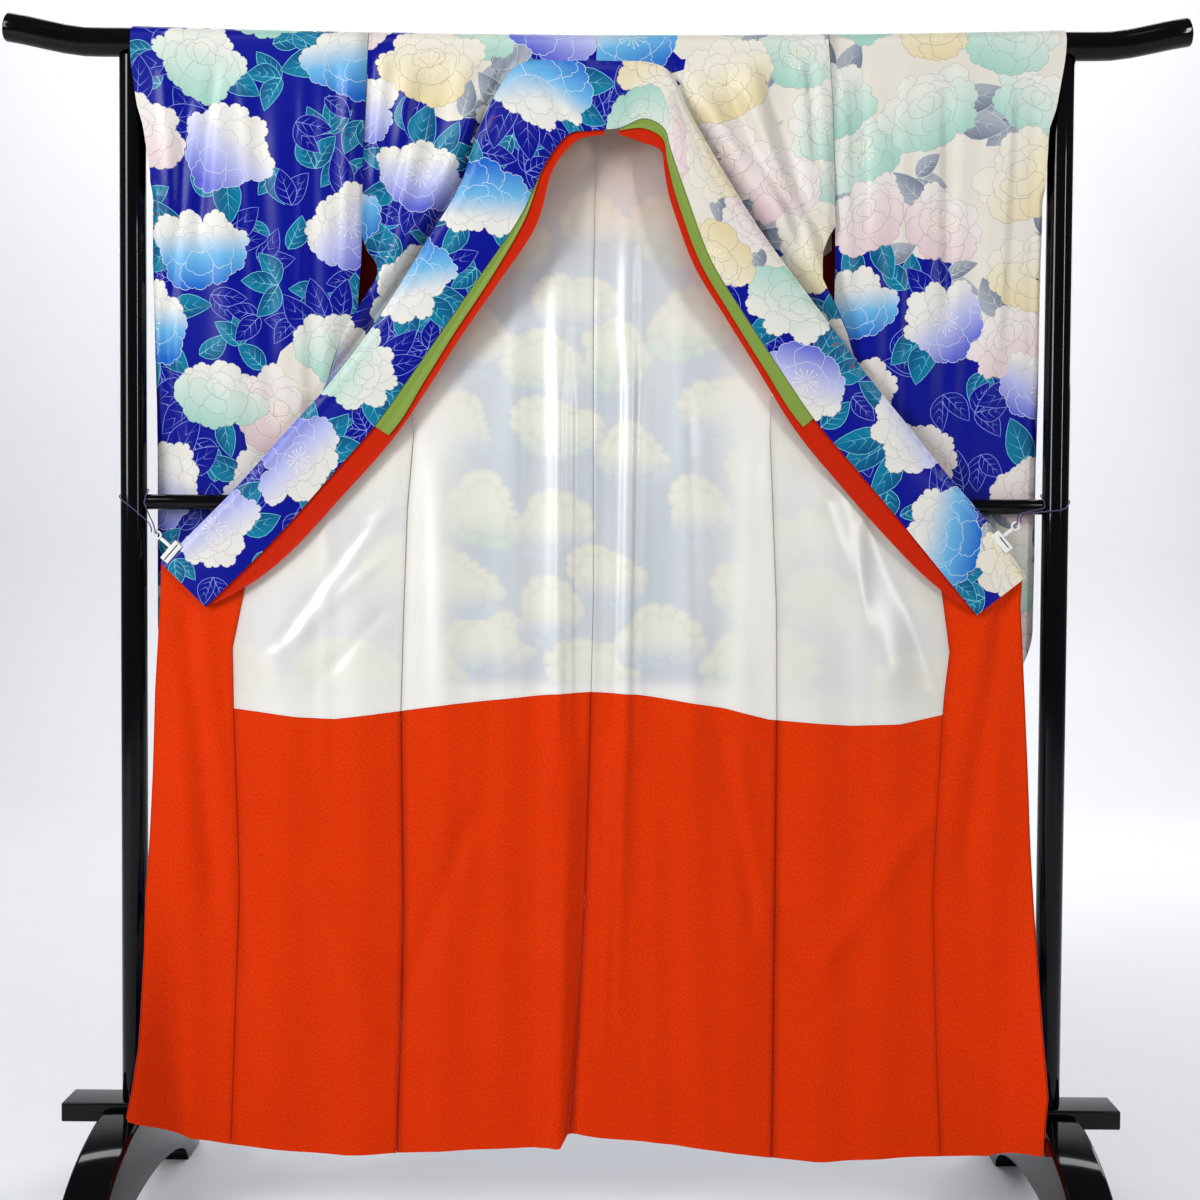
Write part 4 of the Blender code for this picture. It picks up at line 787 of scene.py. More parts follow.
def grid_inside(polygon, step, zone=None):
    """Grid of points inside, finer between two levels where a zone gives them."""
    if zone:
        coarse, fine = grid_inside(polygon, step), grid_inside(polygon, zone[2])
        outside = (coarse[:, 1] < zone[0]) | (coarse[:, 1] > zone[1])
        return np.concatenate([coarse[outside], fine[(fine[:, 1] >= zone[0]) & (fine[:, 1] <= zone[1])]])
    low, high = polygon.min(0), polygon.max(0)
    xs = np.arange(low[0] + step * 0.5, high[0], step)
    ys = np.arange(low[1] + step * 0.5, high[1], step)
    gx, gy = np.meshgrid(xs, ys)
    gx = gx + (np.arange(len(ys)) % 2)[:, None] * step * 0.5
    points = np.stack([gx.ravel(), gy.ravel()], axis=1)
    points = points[inside(polygon, points)]
    keep = np.ones(len(points), bool)
    for start in range(0, len(polygon), 64):
        part = polygon[start:start + 64]
        gap = np.min(np.hypot(points[:, None, 0] - part[None, :, 0], points[:, None, 1] - part[None, :, 1]), axis=1)
        keep &= gap > step * 0.55
    return points[keep]


CELL = 0.012


def topmost(middles, shapes):
    """Number of the last drawn shape over each point, or -1."""
    low = middles.min(0)
    cells = ((middles - low) / CELL).astype(int)
    wide, tall = cells.max(0) + 1
    key = cells[:, 1] * wide + cells[:, 0]
    order = np.argsort(key, kind="stable")
    sorted_key = key[order]
    tops = np.full(len(middles), -1)
    for number, shape in enumerate(shapes):
        polygon = np.array(shape)
        (ax, ay), (bx, by) = (np.floor((end - low) / CELL).astype(int) for end in (polygon.min(0), polygon.max(0)))
        if bx < 0 or by < 0 or ax >= wide or ay >= tall:
            continue
        rows = np.arange(max(0, ay), min(tall - 1, by) + 1) * wide
        first = np.searchsorted(sorted_key, rows + max(0, ax))
        last = np.searchsorted(sorted_key, rows + min(wide - 1, bx) + 1)
        near = np.concatenate([order[a:b] for a, b in zip(first, last)])
        if len(near):
            tops[near[inside(polygon, middles[near])]] = number
    return tops


def cut_up(verts, edges, loop, tolerance):
    """Triangles inside the loop, cut along the edges."""
    out = delaunay_2d_cdt([Vector(p) for p in verts], edges, [loop], 0, tolerance)
    return np.array([tuple(v) for v in out[0]]), np.array([f for f, origin in zip(out[2], out[5]) if origin])


def shown_lines(flat, triangles, tops):
    """Directed edges where the paint changes, and the directed edges of the rim."""
    ends = np.concatenate([triangles[:, [0, 1]], triangles[:, [1, 2]], triangles[:, [2, 0]]])
    paint = np.tile(tops, 3)
    key, back = ends[:, 0] * len(flat) + ends[:, 1], ends[:, 1] * len(flat) + ends[:, 0]
    order = np.argsort(key)
    place = np.minimum(np.searchsorted(key[order], back), len(key) - 1)
    paired = key[order][place] == back
    changes = paired & (paint[order][place] != paint) & (ends[:, 0] < ends[:, 1])
    return ends[changes].tolist(), ends[~paired].tolist()


def straightened(flat, lines, fixed):
    """The lines without the points that hardly bend them."""
    around = {}
    for a, b in lines:
        around.setdefault(a, set()).add(b)
        around.setdefault(b, set()).add(a)
    for tolerance in (0.00002, 0.00009):
        resting = set()
        for point in list(around):
            if point in fixed or point in resting or len(around[point]) != 2:
                continue
            a, b = around[point]
            if b in around[a]:
                continue
            (ax, ay), (bx, by), (px, py) = flat[a], flat[b], flat[point]
            span = math.hypot(bx - ax, by - ay)
            if abs((bx - ax) * (py - ay) - (by - ay) * (px - ax)) > tolerance * span:
                continue
            del around[point]
            around[a].remove(point)
            around[b].remove(point)
            around[a].add(b)
            around[b].add(a)
            if tolerance > 0.00005:
                resting.update((a, b))
    return [(a, b) for a in around for b in around[a] if a < b]


def triangulate(outline, points, shapes):
    """Triangles inside the outline, cut along the lines of the print that show, and the shape on each."""
    rim = list(range(len(outline)))
    if not shapes:
        flat, triangles = cut_up(outline + points.tolist(), [], rim, 1e-9)
        return flat, triangles, np.full(len(triangles), -1)
    low, high = np.array(outline).min(0), np.array(outline).max(0)
    verts, edges = list(outline), []
    for shape in shapes:
        xs, ys = zip(*shape)
        if max(xs) > low[0] and min(xs) < high[0] and max(ys) > low[1] and min(ys) < high[1]:
            start, count = len(verts), len(shape)
            edges += [(start + i, start + (i + 1) % count) for i in range(count)]
            verts += shape
    flat, triangles = cut_up(verts, edges, rim, 1e-6)
    tops = topmost(flat[triangles].mean(1), shapes)
    lines, rim = shown_lines(flat, triangles, tops)
    loop = closed_loop(rim)
    lines = straightened(flat, lines, set(loop))
    kept = loop + sorted({point for line in lines for point in line} - set(loop))
    number = {old: new for new, old in enumerate(kept)}
    verts = flat[kept].tolist() + points.tolist()
    flat, triangles = cut_up(verts, [(number[a], number[b]) for a, b in lines], list(range(len(loop))), 1e-7)
    return flat, triangles, topmost(flat[triangles].mean(1), shapes)


def closed_loop(pairs):
    """Points of directed edges, in order round the loop that they make."""
    follow = dict(pairs)
    loop = [pairs[0][0]]
    while follow[loop[-1]] != loop[0]:
        loop.append(follow[loop[-1]])
        if len(loop) > len(follow):
            raise RuntimeError("the outline of a piece isn't one loop")
    return loop


def boundary_loop(triangles):
    """The rim of some triangles: their directed edges with one face, as a closed loop."""
    seen = dict.fromkeys(pair for a, b, c in triangles.tolist() for pair in ((a, b), (b, c), (c, a)))
    return closed_loop([(a, b) for a, b in seen if (b, a) not in seen])


def normals_of(form, u, v, flip):
    step = 0.0001
    du = form(u + step, v) - form(u - step, v)
    dv = form(u, v + step) - form(u, v - step)
    normal = np.cross(du, dv)
    normal /= np.linalg.norm(normal, axis=1)[:, None] + 1e-12
    return -normal if flip else normal


def paint_corners(places, tops, design, ground):
    """Colour at each corner of each triangle."""
    count = len(tops)
    colours = np.empty((count, 3, 4))
    colours[..., 3] = 1.0
    colours[..., :3] = ground
    shown = tops >= 0
    if design is None or not shown.any():
        return colours
    paints = design.paints
    pick = tops[shown]
    p = places[shown]

    def column(name):
        return np.array([getattr(paint, name) for paint in paints])[pick]

    centre, turn, size = column("centre"), column("turn"), column("size")
    along = ((p - centre[:, None, :]) * turn[:, None, :]).sum(-1) / size[:, None]
    t = np.clip((along + 1.0) / 2.0, 0.0, 1.0)[..., None]
    first, second, third = (column(name)[:, None, :] for name in ("first", "second", "third"))
    low = np.clip((t - 0.30) / 0.28, 0.0, 1.0)
    high = np.clip((t - 0.58) / 0.34, 0.0, 1.0)
    colour = first + (second - first) * low + (third - second) * high
    tip, reach, shade = column("inner"), column("inner_size"), column("shade")
    depth = np.clip(np.linalg.norm(p - tip[:, None, :], axis=-1) / reach[:, None], 0.0, 1.0)
    depth = (shade[:, None] * depth ** 1.3)[..., None]
    colour = colour + (lerp(second, third, np.clip(high + 0.2, 0.0, 1.0)) - colour) * depth
    colours[shown, :, :3] = colour
    return colours


def shell(name, outline, form, step, materials, design=None, ground=(1, 1, 1), thickness=CLOTH, flip=False,
          tint=None, inner_step=0.0085, zone=None, rim_rows=()):
    """A thin closed cloth piece: the outer face with its print, an inner face and the edge between."""
    outline = densify(outline, step * 0.8)
    area = winding(outline)
    if area < 0:
        outline = outline[::-1]
    polygon = np.array(outline)
    shapes = design.shapes if design else []
    beside = np.array([point for row in rim_rows for point in inset(outline, row)]).reshape(-1, 2)
    beside = beside[inside(polygon, beside)]
    points = np.concatenate([grid_inside(polygon, step, zone), beside])
    flat, triangles, tops = triangulate(outline, points, shapes)
    loop = boundary_loop(triangles)
    used = np.unique(triangles)
    renumber = -np.ones(len(flat), int)
    renumber[used] = np.arange(len(used))
    flat = flat[used]
    triangles = renumber[triangles]
    loop = [int(renumber[i]) for i in loop]

    rim = flat[loop]
    inner_points = np.concatenate([grid_inside(rim, inner_step, zone), beside])
    verts = [Vector(p) for p in rim] + [Vector(p) for p in inner_points]
    out = delaunay_2d_cdt(verts, [], [list(range(len(rim)))], 0, 1e-9)
    inner_triangles = [face for face, origin in zip(out[2], out[5]) if 0 in origin]
    inner_flat = np.array([tuple(v) for v in out[0]])
    inner_of_rim = [-1] * len(rim)
    for index, origin in enumerate(out[3]):
        for source in origin:
            if source < len(rim):
                inner_of_rim[source] = index

    outer_place = form(flat[:, 0], flat[:, 1])
    outer_normal = normals_of(form, flat[:, 0], flat[:, 1], flip)
    inner_place = form(inner_flat[:, 0], inner_flat[:, 1])
    inner_normal = normals_of(form, inner_flat[:, 0], inner_flat[:, 1], flip)
    inner_place = inner_place - inner_normal * thickness
    base = len(flat)
    faces = [tuple(t) if not flip else (t[0], t[2], t[1]) for t in triangles.tolist()]
    outer_count = len(faces)
    for a, b, c in inner_triangles:
        faces.append((base + a, base + c, base + b) if not flip else (base + a, base + b, base + c))
    inner_count = len(faces) - outer_count
    for i in range(len(loop)):
        a, b = loop[i], loop[(i + 1) % len(loop)]
        c, d = base + inner_of_rim[i], base + inner_of_rim[(i + 1) % len(loop)]
        faces.append((b, a, c, d) if not flip else (a, b, d, c))

    mesh = bpy.data.meshes.new(name)
    mesh.from_pydata(np.concatenate([outer_place, inner_place]).tolist(), [], faces)
    for material in materials:
        mesh.materials.append(material)
    index = np.zeros(len(faces), int)
    index[outer_count:outer_count + inner_count] = min(1, len(materials) - 1)
    mesh.polygons.foreach_set("material_index", index)
    colours = paint_corners(flat[triangles], tops, design, ground)
    # The tint multiplies in painted shade by seams and folds, and the print that shows through a lining
    if tint is not None:
        colours[..., :3] *= tint(flat[triangles][..., 0], flat[triangles][..., 1])
    if flip:
        colours = colours[:, [0, 2, 1]]
    layer = mesh.attributes.new("print", "FLOAT_COLOR", "CORNER")
    loops = len(mesh.loops)
    data = np.ones((loops, 4))
    data[:outer_count * 3] = colours.reshape(-1, 4)
    data[outer_count * 3:, :3] = ground
    layer.data.foreach_set("color", data.ravel())
    uv = mesh.uv_layers.new(name="cloth")
    every = np.concatenate([flat, inner_flat])
    corner = np.empty(loops, int)
    mesh.loops.foreach_get("vertex_index", corner)
    uv.data.foreach_set("uv", every[corner].ravel())
    mesh.shade_smooth()
    mesh.normals_split_custom_set_from_vertices(np.concatenate([outer_normal, -inner_normal]).tolist())
    made = link(name, mesh)
    sides = polygon.max(0) - polygon.min(0)
    made["cut_width"], made["cut_length"] = float(sides[0]), float(sides[1])
    made["cut_area"] = abs(float(area)) / 2.0
    return made


def hang(made, slot, nodes, *rests_on):
    """Puts a finished piece of cloth in its nodes' place."""
    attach(made, "root")
    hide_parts(*nodes)


def seat(made, node):
    """Puts a finished piece in its node's place."""
    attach(made, "root")
    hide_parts(node)


# Shader maths
class Node:
    """A socket of a material, with the maths that the materials use."""

    def __init__(self, tree, socket):
        self.tree, self.socket = tree, socket

    def maths(self, operation, other, clamp=False):
        settings = {"operation": operation, "use_clamp": clamp}
        return add_node(self.tree, "ShaderNodeMath", {0: self, 1: other}, settings)

    def __add__(self, other):
        return self.maths("ADD", other)

    def __sub__(self, other):
        return self.maths("SUBTRACT", other)

    def __mul__(self, other):
        return self.maths("MULTIPLY", other)

    def clamp(self):
        return self.maths("ADD", 0.0, clamp=True)


def add_node(tree, kind, inputs, settings=None, output=0):
    """A node of a kind, its settings set first, then its sockets' values or links."""
    node = tree.nodes.new(kind)
    for key, value in (settings or {}).items():
        if key == "stops":
            ramp_data = node.color_ramp
            while len(ramp_data.elements) > 1:
                ramp_data.elements.remove(ramp_data.elements[-1])
            ramp_data.elements[0].position, ramp_data.elements[0].color = value[0]
            for place, colour in value[1:]:
                ramp_data.elements.new(place).color = colour
        else:
            setattr(node, key, value)
    for key, value in inputs.items():
        socket = node.inputs[key]
        if isinstance(value, Node):
            tree.links.new(value.socket, socket)
        else:
            socket.default_value = value
    return Node(tree, node.outputs[output])


def mix_colour(tree, factor, a, b, blend="MIX"):
    sockets = {0: factor, 6: a, 7: b}
    return add_node(tree, "ShaderNodeMix", sockets, {"data_type": "RGBA", "blend_type": blend}, output=2)


def darkened(base, value):
    """A colour times a varying grey."""
    grey = add_node(base.tree, "ShaderNodeCombineColor", {0: value, 1: value, 2: value})
    return mix_colour(base.tree, 1.0, base, grey, "MULTIPLY")


def shades(factor, colour, first, last):
    """A colour that varies between two strengths."""
    ends = [(*[c * strength for c in colour], 1.0) for strength in (first, last)]
    return mix_colour(factor.tree, factor, *ends)


def new_material(name):
    made = bpy.data.materials.new(name)
    made.use_nodes = True
    tree = made.node_tree
    return made, tree, tree.nodes["Principled BSDF"]


def join(value, shader, socket):
    value.tree.links.new(value.socket, shader.inputs[socket])


def place_of(tree, scale=(1.0, 1.0, 1.0), flat=False):
    """Coordinates on the cloth: its flat cut, or the object's own space."""
    source = add_node(tree, "ShaderNodeUVMap", {}, {"uv_map": "cloth"}) if flat else \
        add_node(tree, "ShaderNodeTexCoord", {}, output=3)
    return add_node(tree, "ShaderNodeMapping", {0: source, 3: scale})


def noise(place, scale, detail=2.0):
    return add_node(place.tree, "ShaderNodeTexNoise", {"Vector": place, "Scale": scale, "Detail": detail})


def bump(height, strength, distance):
    return add_node(height.tree, "ShaderNodeBump", {"Strength": strength, "Distance": distance, "Height": height})


BLOTCH = 0.05


def silk(name, colour=None, sheen=0.0, rough=0.42, weave=0.25, crepe=0.0, gloss=0.4):
    """Woven silk: thread lines one way, crepe grain where it has it, a soft lustre."""
    made, tree, shader = new_material(name)
    if colour is None:
        base = add_node(tree, "ShaderNodeAttribute", {}, {"attribute_name": "print"})
    else:
        base = add_node(tree, "ShaderNodeRGB", {})
        base.socket.default_value = (*colour, 1.0)
    flat = place_of(tree, flat=True)
    cloudy = noise(flat, 9.0, 3.0)
    base = darkened(base, cloudy * (2.0 * BLOTCH) + (1.0 - BLOTCH))
    warp = place_of(tree, (2600.0, 90.0, 1.0), flat=True)
    weft = place_of(tree, (140.0, 1900.0, 1.0), flat=True)
    thread = noise(warp, 1.0, 1.0) * 0.6 + noise(weft, 1.0, 1.0) * 0.4
    height = thread * weave
    if crepe:
        grain = add_node(tree, "ShaderNodeTexVoronoi", {"Vector": flat, "Scale": 620.0, "Randomness": 1.0},
                         {"feature": "F1"})
        coarse = noise(place_of(tree, (420.0, 260.0, 1.0), flat=True), 1.0, 3.0)
        height = height + grain * crepe + coarse * (crepe * 2.6)
        base = darkened(base, (coarse - 0.5) * (0.95 * crepe) + 1.0)
    join(base, shader, "Base Color")
    join((thread * 0.10 + cloudy * 0.06 + (rough - 0.08)).clamp(), shader, "Roughness")
    join(bump(height, 0.35, 0.0004), shader, "Normal")
    shader.inputs["Sheen Weight"].default_value = sheen
    shader.inputs["Sheen Roughness"].default_value = 0.4
    shader.inputs["Specular IOR Level"].default_value = gloss
    return made


def lacquer(name, colour):
    """Polished black lacquer: faint brush waves and dust, a clear top coat."""
    made, tree, shader = new_material(name)
    place = place_of(tree)
    tone = noise(place, 14.0, 4.0)
    join(shades(tone, colour, 1.0, 2.2), shader, "Base Color")
    join((tone * 0.05 + noise(place, 900.0) * 0.04 + 0.04).clamp(), shader, "Roughness")
    join(bump(noise(place, 30.0), 0.03, 0.0006), shader, "Normal")
    shader.inputs["Specular IOR Level"].default_value = 0.10
    shader.inputs["Coat Weight"].default_value = 0.20
    shader.inputs["Coat Roughness"].default_value = 0.04
    return made


def plastic(name, colour):
    made, tree, shader = new_material(name)
    place = place_of(tree)
    tone = noise(place, 160.0, 3.0)
    join(shades(tone, colour, 1.0, 0.90), shader, "Base Color")
    join((tone * 0.12 + 0.24).clamp(), shader, "Roughness")
    join(bump(noise(place, 1200.0), 0.05, 0.0002), shader, "Normal")
    return made


def cord_silk(name, colour):
    """Twisted thread: slanting ridges round the cord, with painted shade in their grooves."""
    made, tree, shader = new_material(name)
    wave = add_node(tree, "ShaderNodeTexWave", {"Vector": place_of(tree), "Scale": 420.0, "Distortion": 1.5},
                    {"bands_direction": "DIAGONAL"}, output=1)
    # Painted shade: darker in the grooves and lighter on the ridges, with the same bands as the bump
    join(shades(wave, colour, 0.5, 1.6), shader, "Base Color")
    join(wave * 0.2 + 0.55, shader, "Roughness")
    join(bump(wave, 0.5, 0.0003), shader, "Normal")
    shader.inputs["Sheen Weight"].default_value = 0.4
    return made


# Settings
class ClothSettings(bpy.types.PropertyGroup):
    fine_step: bpy.props.FloatProperty(name="Fine step", description="Spacing of the mesh on shown cloth",
                                       default=0.0065, min=0.003, max=0.03, unit="LENGTH")
    back_step: bpy.props.FloatProperty(name="Back step", description="Spacing of the mesh on the back",
                                       default=0.011, min=0.004, max=0.03, unit="LENGTH")
    flower_spacing: bpy.props.FloatProperty(name="Flower spacing", description="Distance between flowers",
                                            default=0.132, min=0.06, max=0.3, unit="LENGTH")
    seed: bpy.props.IntProperty(name="Seed", description="Layout of the print", default=11, min=0)
    ground: bpy.props.FloatVectorProperty(name="Ground", description="Ground colour of the print",
                                          default=DEEP_BLUE, subtype="COLOR", min=0.0, max=1.0)


class LiningSettings(bpy.types.PropertyGroup):
    white: bpy.props.FloatVectorProperty(name="Upper lining", description="Colour of the white lining",
                                         default=srgb(233, 232, 226), subtype="COLOR", min=0.0, max=1.0)
    orange: bpy.props.FloatVectorProperty(name="Lower lining", description="Colour of the orange lining",
                                          default=srgb(215, 51, 0), subtype="COLOR", min=0.0, max=1.0)
    sleeve: bpy.props.FloatVectorProperty(name="Sleeve lining", description="Colour inside the sleeves",
                                          default=srgb(130, 6, 6), subtype="COLOR", min=0.0, max=1.0)
    collar: bpy.props.FloatVectorProperty(name="Collar lining", description="Colour beside the collar's edge",
                                          default=srgb(190, 34, 3), subtype="COLOR", min=0.0, max=1.0)
    inner_collar: bpy.props.FloatVectorProperty(name="Inner collar", description="Colour of the inner collar",
                                                default=srgb(122, 148, 58), subtype="COLOR", min=0.0, max=1.0)
    stitch_pitch: bpy.props.FloatProperty(name="Stitch pitch", description="Distance between stitches",
                                          default=0.006, min=0.002, max=0.05, unit="LENGTH")
    stitch_length: bpy.props.FloatProperty(name="Stitch length", description="Length of one stitch",
                                           default=0.0030, min=0.0005, max=0.02, unit="LENGTH")


class StandSettings(bpy.types.PropertyGroup):
    lacquer: bpy.props.FloatVectorProperty(name="Lacquer", description="Colour of the stand",
                                           default=(0.0012, 0.0012, 0.0016), subtype="COLOR", min=0.0, max=1.0)
    sides: bpy.props.IntProperty(name="Sides", description="Sides of the round bars", default=48, min=12, max=96)
    bevel: bpy.props.FloatProperty(name="Edge rounding", description="Rounding of the stand's edges",
                                   default=0.003, min=0.0005, max=0.01, unit="LENGTH")
    clip: bpy.props.FloatVectorProperty(name="Clips", description="Colour of the clips",
                                        default=srgb(236, 236, 234), subtype="COLOR", min=0.0, max=1.0)
    cord: bpy.props.FloatVectorProperty(name="Cords", description="Colour of the cords",
                                        default=srgb(62, 30, 96), subtype="COLOR", min=0.0, max=1.0)


class StageSettings(bpy.types.PropertyGroup):
    floor: bpy.props.FloatVectorProperty(name="Floor", description="Colour of the floor and wall",
                                         default=srgb(236, 237, 240), subtype="COLOR", min=0.0, max=1.0)
    key: bpy.props.FloatProperty(name="Key light", description="Power of the main soft light",
                                 default=124.0, min=0.0, max=1000.0, unit="POWER")
    fill: bpy.props.FloatProperty(name="Fill lights", description="Power of the weaker soft lights",
                                  default=40.0, min=0.0, max=1000.0, unit="POWER")
    wall: bpy.props.FloatProperty(name="Wall light", description="Power of the light on the wall",
                                  default=174.0, min=0.0, max=1000.0, unit="POWER")


def settings(name):
    return getattr(bpy.context.scene, "kimono_" + name)


MATERIALS = {}


def finish_of(key):
    """The material of a finish, made once."""
    if key in MATERIALS:
        return MATERIALS[key]
    lining, stand = settings("lining"), settings("stand")
    makers = {
        "print": lambda: silk("Printed satin silk", rough=0.36, weave=0.30, gloss=0.22),
        "white": lambda: silk("White lining silk", rough=0.34, weave=0.16, gloss=0.85),
        "orange": lambda: silk("Orange crepe silk", tuple(lining.orange), rough=0.60, crepe=0.8, gloss=0.04),
        "lower": lambda: silk("Orange lower lining", rough=0.60, crepe=0.8, gloss=0.06),
        "sleeve": lambda: silk("Red sleeve lining", tuple(lining.sleeve), rough=0.55, crepe=0.5, gloss=0.10),
        "collar": lambda: silk("Red collar lining", tuple(lining.collar), rough=0.5, crepe=0.3, gloss=0.08),
        "inner": lambda: silk("Green inner collar", tuple(lining.inner_collar), rough=0.48, gloss=0.35),
        "back": lambda: silk("Plain white lining", tuple(lining.white), rough=0.42),
        "lacquer": lambda: lacquer("Black lacquer", tuple(stand.lacquer)),
        "clip": lambda: plastic("White clip plastic", tuple(stand.clip)),
        # Near-black plastic for the slot in each clip: painted shade inside the recess
        "slot": lambda: plastic("Slot with painted shade", (0.02, 0.02, 0.022)),
        "cord": lambda: cord_silk("Purple cord", tuple(stand.cord)),
        "thread": lambda: silk("Sewing thread", srgb(214, 196, 182), sheen=0.3, rough=0.6),
    }
    MATERIALS[key] = makers[key]()
    return MATERIALS[key]


# Outlines of the pieces in their flat places
def body_outline(side):
    arc = math.pi * BODY_RADIUS
    half_gap = side * HALF_GAP
    tip = float(edge(FRONT_BODY_EDGE, 1.24, side))
    shoulder = float(edge(SLEEVE_SEAM, BAR_Z, side))

    def rear(x, z):
        return (x, arc + float(bar_axis_z(x)) - z)

    points = [(x, float(collar_seam(x)) - 0.003 - float(bar_axis_z(x))) for x in np.linspace(half_gap, tip, 60)]
    for z in np.linspace(float(collar_seam(tip)) + 0.004, FALL_Z, 60):
        x = float(edge(FRONT_BODY_EDGE if z < 1.49 else SLEEVE_SEAM, z, side))
        points.append((x, z - float(bar_axis_z(x))))
    points += [(shoulder, t * arc) for t in np.linspace(0.02, 0.98, 9)]
    points += [rear(float(edge(SIDE_SEAM if z < ARMHOLE_Z else SLEEVE_SEAM, z, side)), z)
               for z in np.linspace(FALL_Z, float(table(HEM, edge(SIDE_SEAM, 0.11, side))), 90)]
    for x in np.linspace(points[-1][0], float(table(CENTRE_SEAM, 0.12)) + half_gap, 30)[1:]:
        points.append((x, arc + float(bar_axis_z(x) - table(HEM, x + side * 0.001)) - HEM_ROLL))
    points += [rear(float(table(CENTRE_SEAM, z)) + half_gap, z) for z in np.linspace(0.15, FALL_Z, 60)]
    return points + [(half_gap, t * arc) for t in np.linspace(0.98, 0.02, 9)]


def sleeve_outline(side):
    arc = math.pi * SLEEVE_RADIUS
    heights = [FALL_Z - SLEEVE_DROP * i / 80 for i in range(81)]

    def outer_x(z):
        outer = abs(float(edge(SLEEVE_EDGE, z, side)))
        drop = SLEEVE_BOTTOM_Z + SLEEVE_CORNER - z
        if drop > 0.0:
            outer -= SLEEVE_CORNER - math.sqrt(max(0.0, SLEEVE_CORNER ** 2 - drop ** 2))
        return outer

    def inner_x(z, back):
        inner = abs(float(edge(SLEEVE_SEAM, z, side))) + 2.0 * SEAM_GAP
        return float(lerp(FURI_OVERLAP_X, inner, ramp(ARMHOLE_Z, ARMHOLE_Z + 0.025, z))) if back else inner

    def front(x, z):
        return (side * x, z - float(bar_axis_z(x)))

    def rear(x, z):
        return (side * x, arc + float(bar_axis_z(x)) - z)

    low = SLEEVE_BOTTOM_Z + 0.0002
    points = [front(inner_x(z, False), max(z, low)) for z in heights]
    points += [front(x, low) for x in np.linspace(inner_x(low, False), outer_x(low), 12)[1:]]
    points += [front(outer_x(max(z, low)), max(z, low)) for z in heights[-2::-1]]
    points += [(side * outer_x(1.75), t * arc) for t in np.linspace(0.04, 0.96, 9)]
    points += [rear(outer_x(max(z, low)), max(z, low)) for z in heights]
    points += [rear(x, low) for x in np.linspace(outer_x(low), inner_x(low, True), 12)[1:]]
    points += [rear(inner_x(z, True), max(z, low)) for z in heights[-2::-1]]
    points += [(side * inner_x(1.75, False), t * arc) for t in np.linspace(0.96, 0.04, 9)]
    return points


EDGE_PITCH = 0.006
CROSS_STEPS = 24


def panel_outline(side, near, far, top, bottom):
    """Outline of a hanging piece in x and z, between the edge near the middle and the far one."""
    left, right = (far, near) if side < 0 else (near, far)

    def corner(line, level, guess):
        x = float(line(guess))
        for _ in range(6):
            x = float(line(level(x)))
        return x

    def between(high, low):
        return levels[(levels < high - 0.002) & (levels > float(bottom(low)) + 0.002)]

    left_low, right_low = corner(left, bottom, 0.2), corner(right, bottom, 0.2)
    levels = np.arange(0.05, 1.80, EDGE_PITCH)
    points = [(x, float(top(x))) for x in np.linspace(corner(left, top, 1.1), corner(right, top, 1.1), CROSS_STEPS)]
    points += [(float(right(z)), z) for z in between(points[-1][1], right_low)[::-1]]
    points += [(x, float(bottom(x))) for x in np.linspace(right_low, left_low, CROSS_STEPS)]
    points += [(float(left(z)), z) for z in between(points[0][1], left_low)]
    return points


def line_of(rows, side, shift=0.0):
    return lambda z: edge(rows, z, side) + shift


def level_of(rows, shift=0.0):
    return lambda x: table(rows, x) + shift


def corners(a, b, low, high):
    """The low and the high corner of a field between two places across and two along."""
    return (min(a, b), low), (max(a, b), high)


SIDES = ((-1, "left"), (1, "right"))
FACING_ENDS = (0.82, 1.44)

# Pale clouds of the print: place in the flat cloth and radius
SLEEVE_CLOUDS = {1: [(0.42, -0.06, 0.15), (0.58, -0.10, 0.17), (0.66, -0.26, 0.14), (0.50, -0.20, 0.12),
                     (0.63, -0.36, 0.09), (0.40, -0.16, 0.10), (0.62, 0.20, 0.16), (0.45, 0.45, 0.14),
                     (0.40, 0.80, 0.15), (0.62, 0.95, 0.15), (0.64, -0.84, 0.17), (0.42, -0.92, 0.13)],
                 -1: [(-0.40, -0.50, 0.08), (-0.45, -0.58, 0.08), (-0.36, -0.60, 0.08), (-0.62, 0.35, 0.15),
                      (-0.45, 0.80, 0.16), (-0.60, -0.90, 0.12)]}
BODY_CLOUDS = {-1: [(-0.20, -0.02, 0.09), (-0.28, 0.40, 0.15), (-0.10, 0.95, 0.18), (-0.30, 1.30, 0.16)],
               1: [(0.26, -0.10, 0.16), (0.15, -0.16, 0.10), (0.30, -0.22, 0.12), (0.20, 0.18, 0.22),
                   (0.10, 0.80, 0.15), (0.28, 1.20, 0.18)]}
COLLAR_CLOUDS = [(1.10, 0.050, 0.075), (1.18, 0.045, 0.085), (1.27, 0.060, 0.080), (1.34, 0.020, 0.050),
                 (1.93, 0.010, 0.055)]
SILHOUETTE_SEED = 77


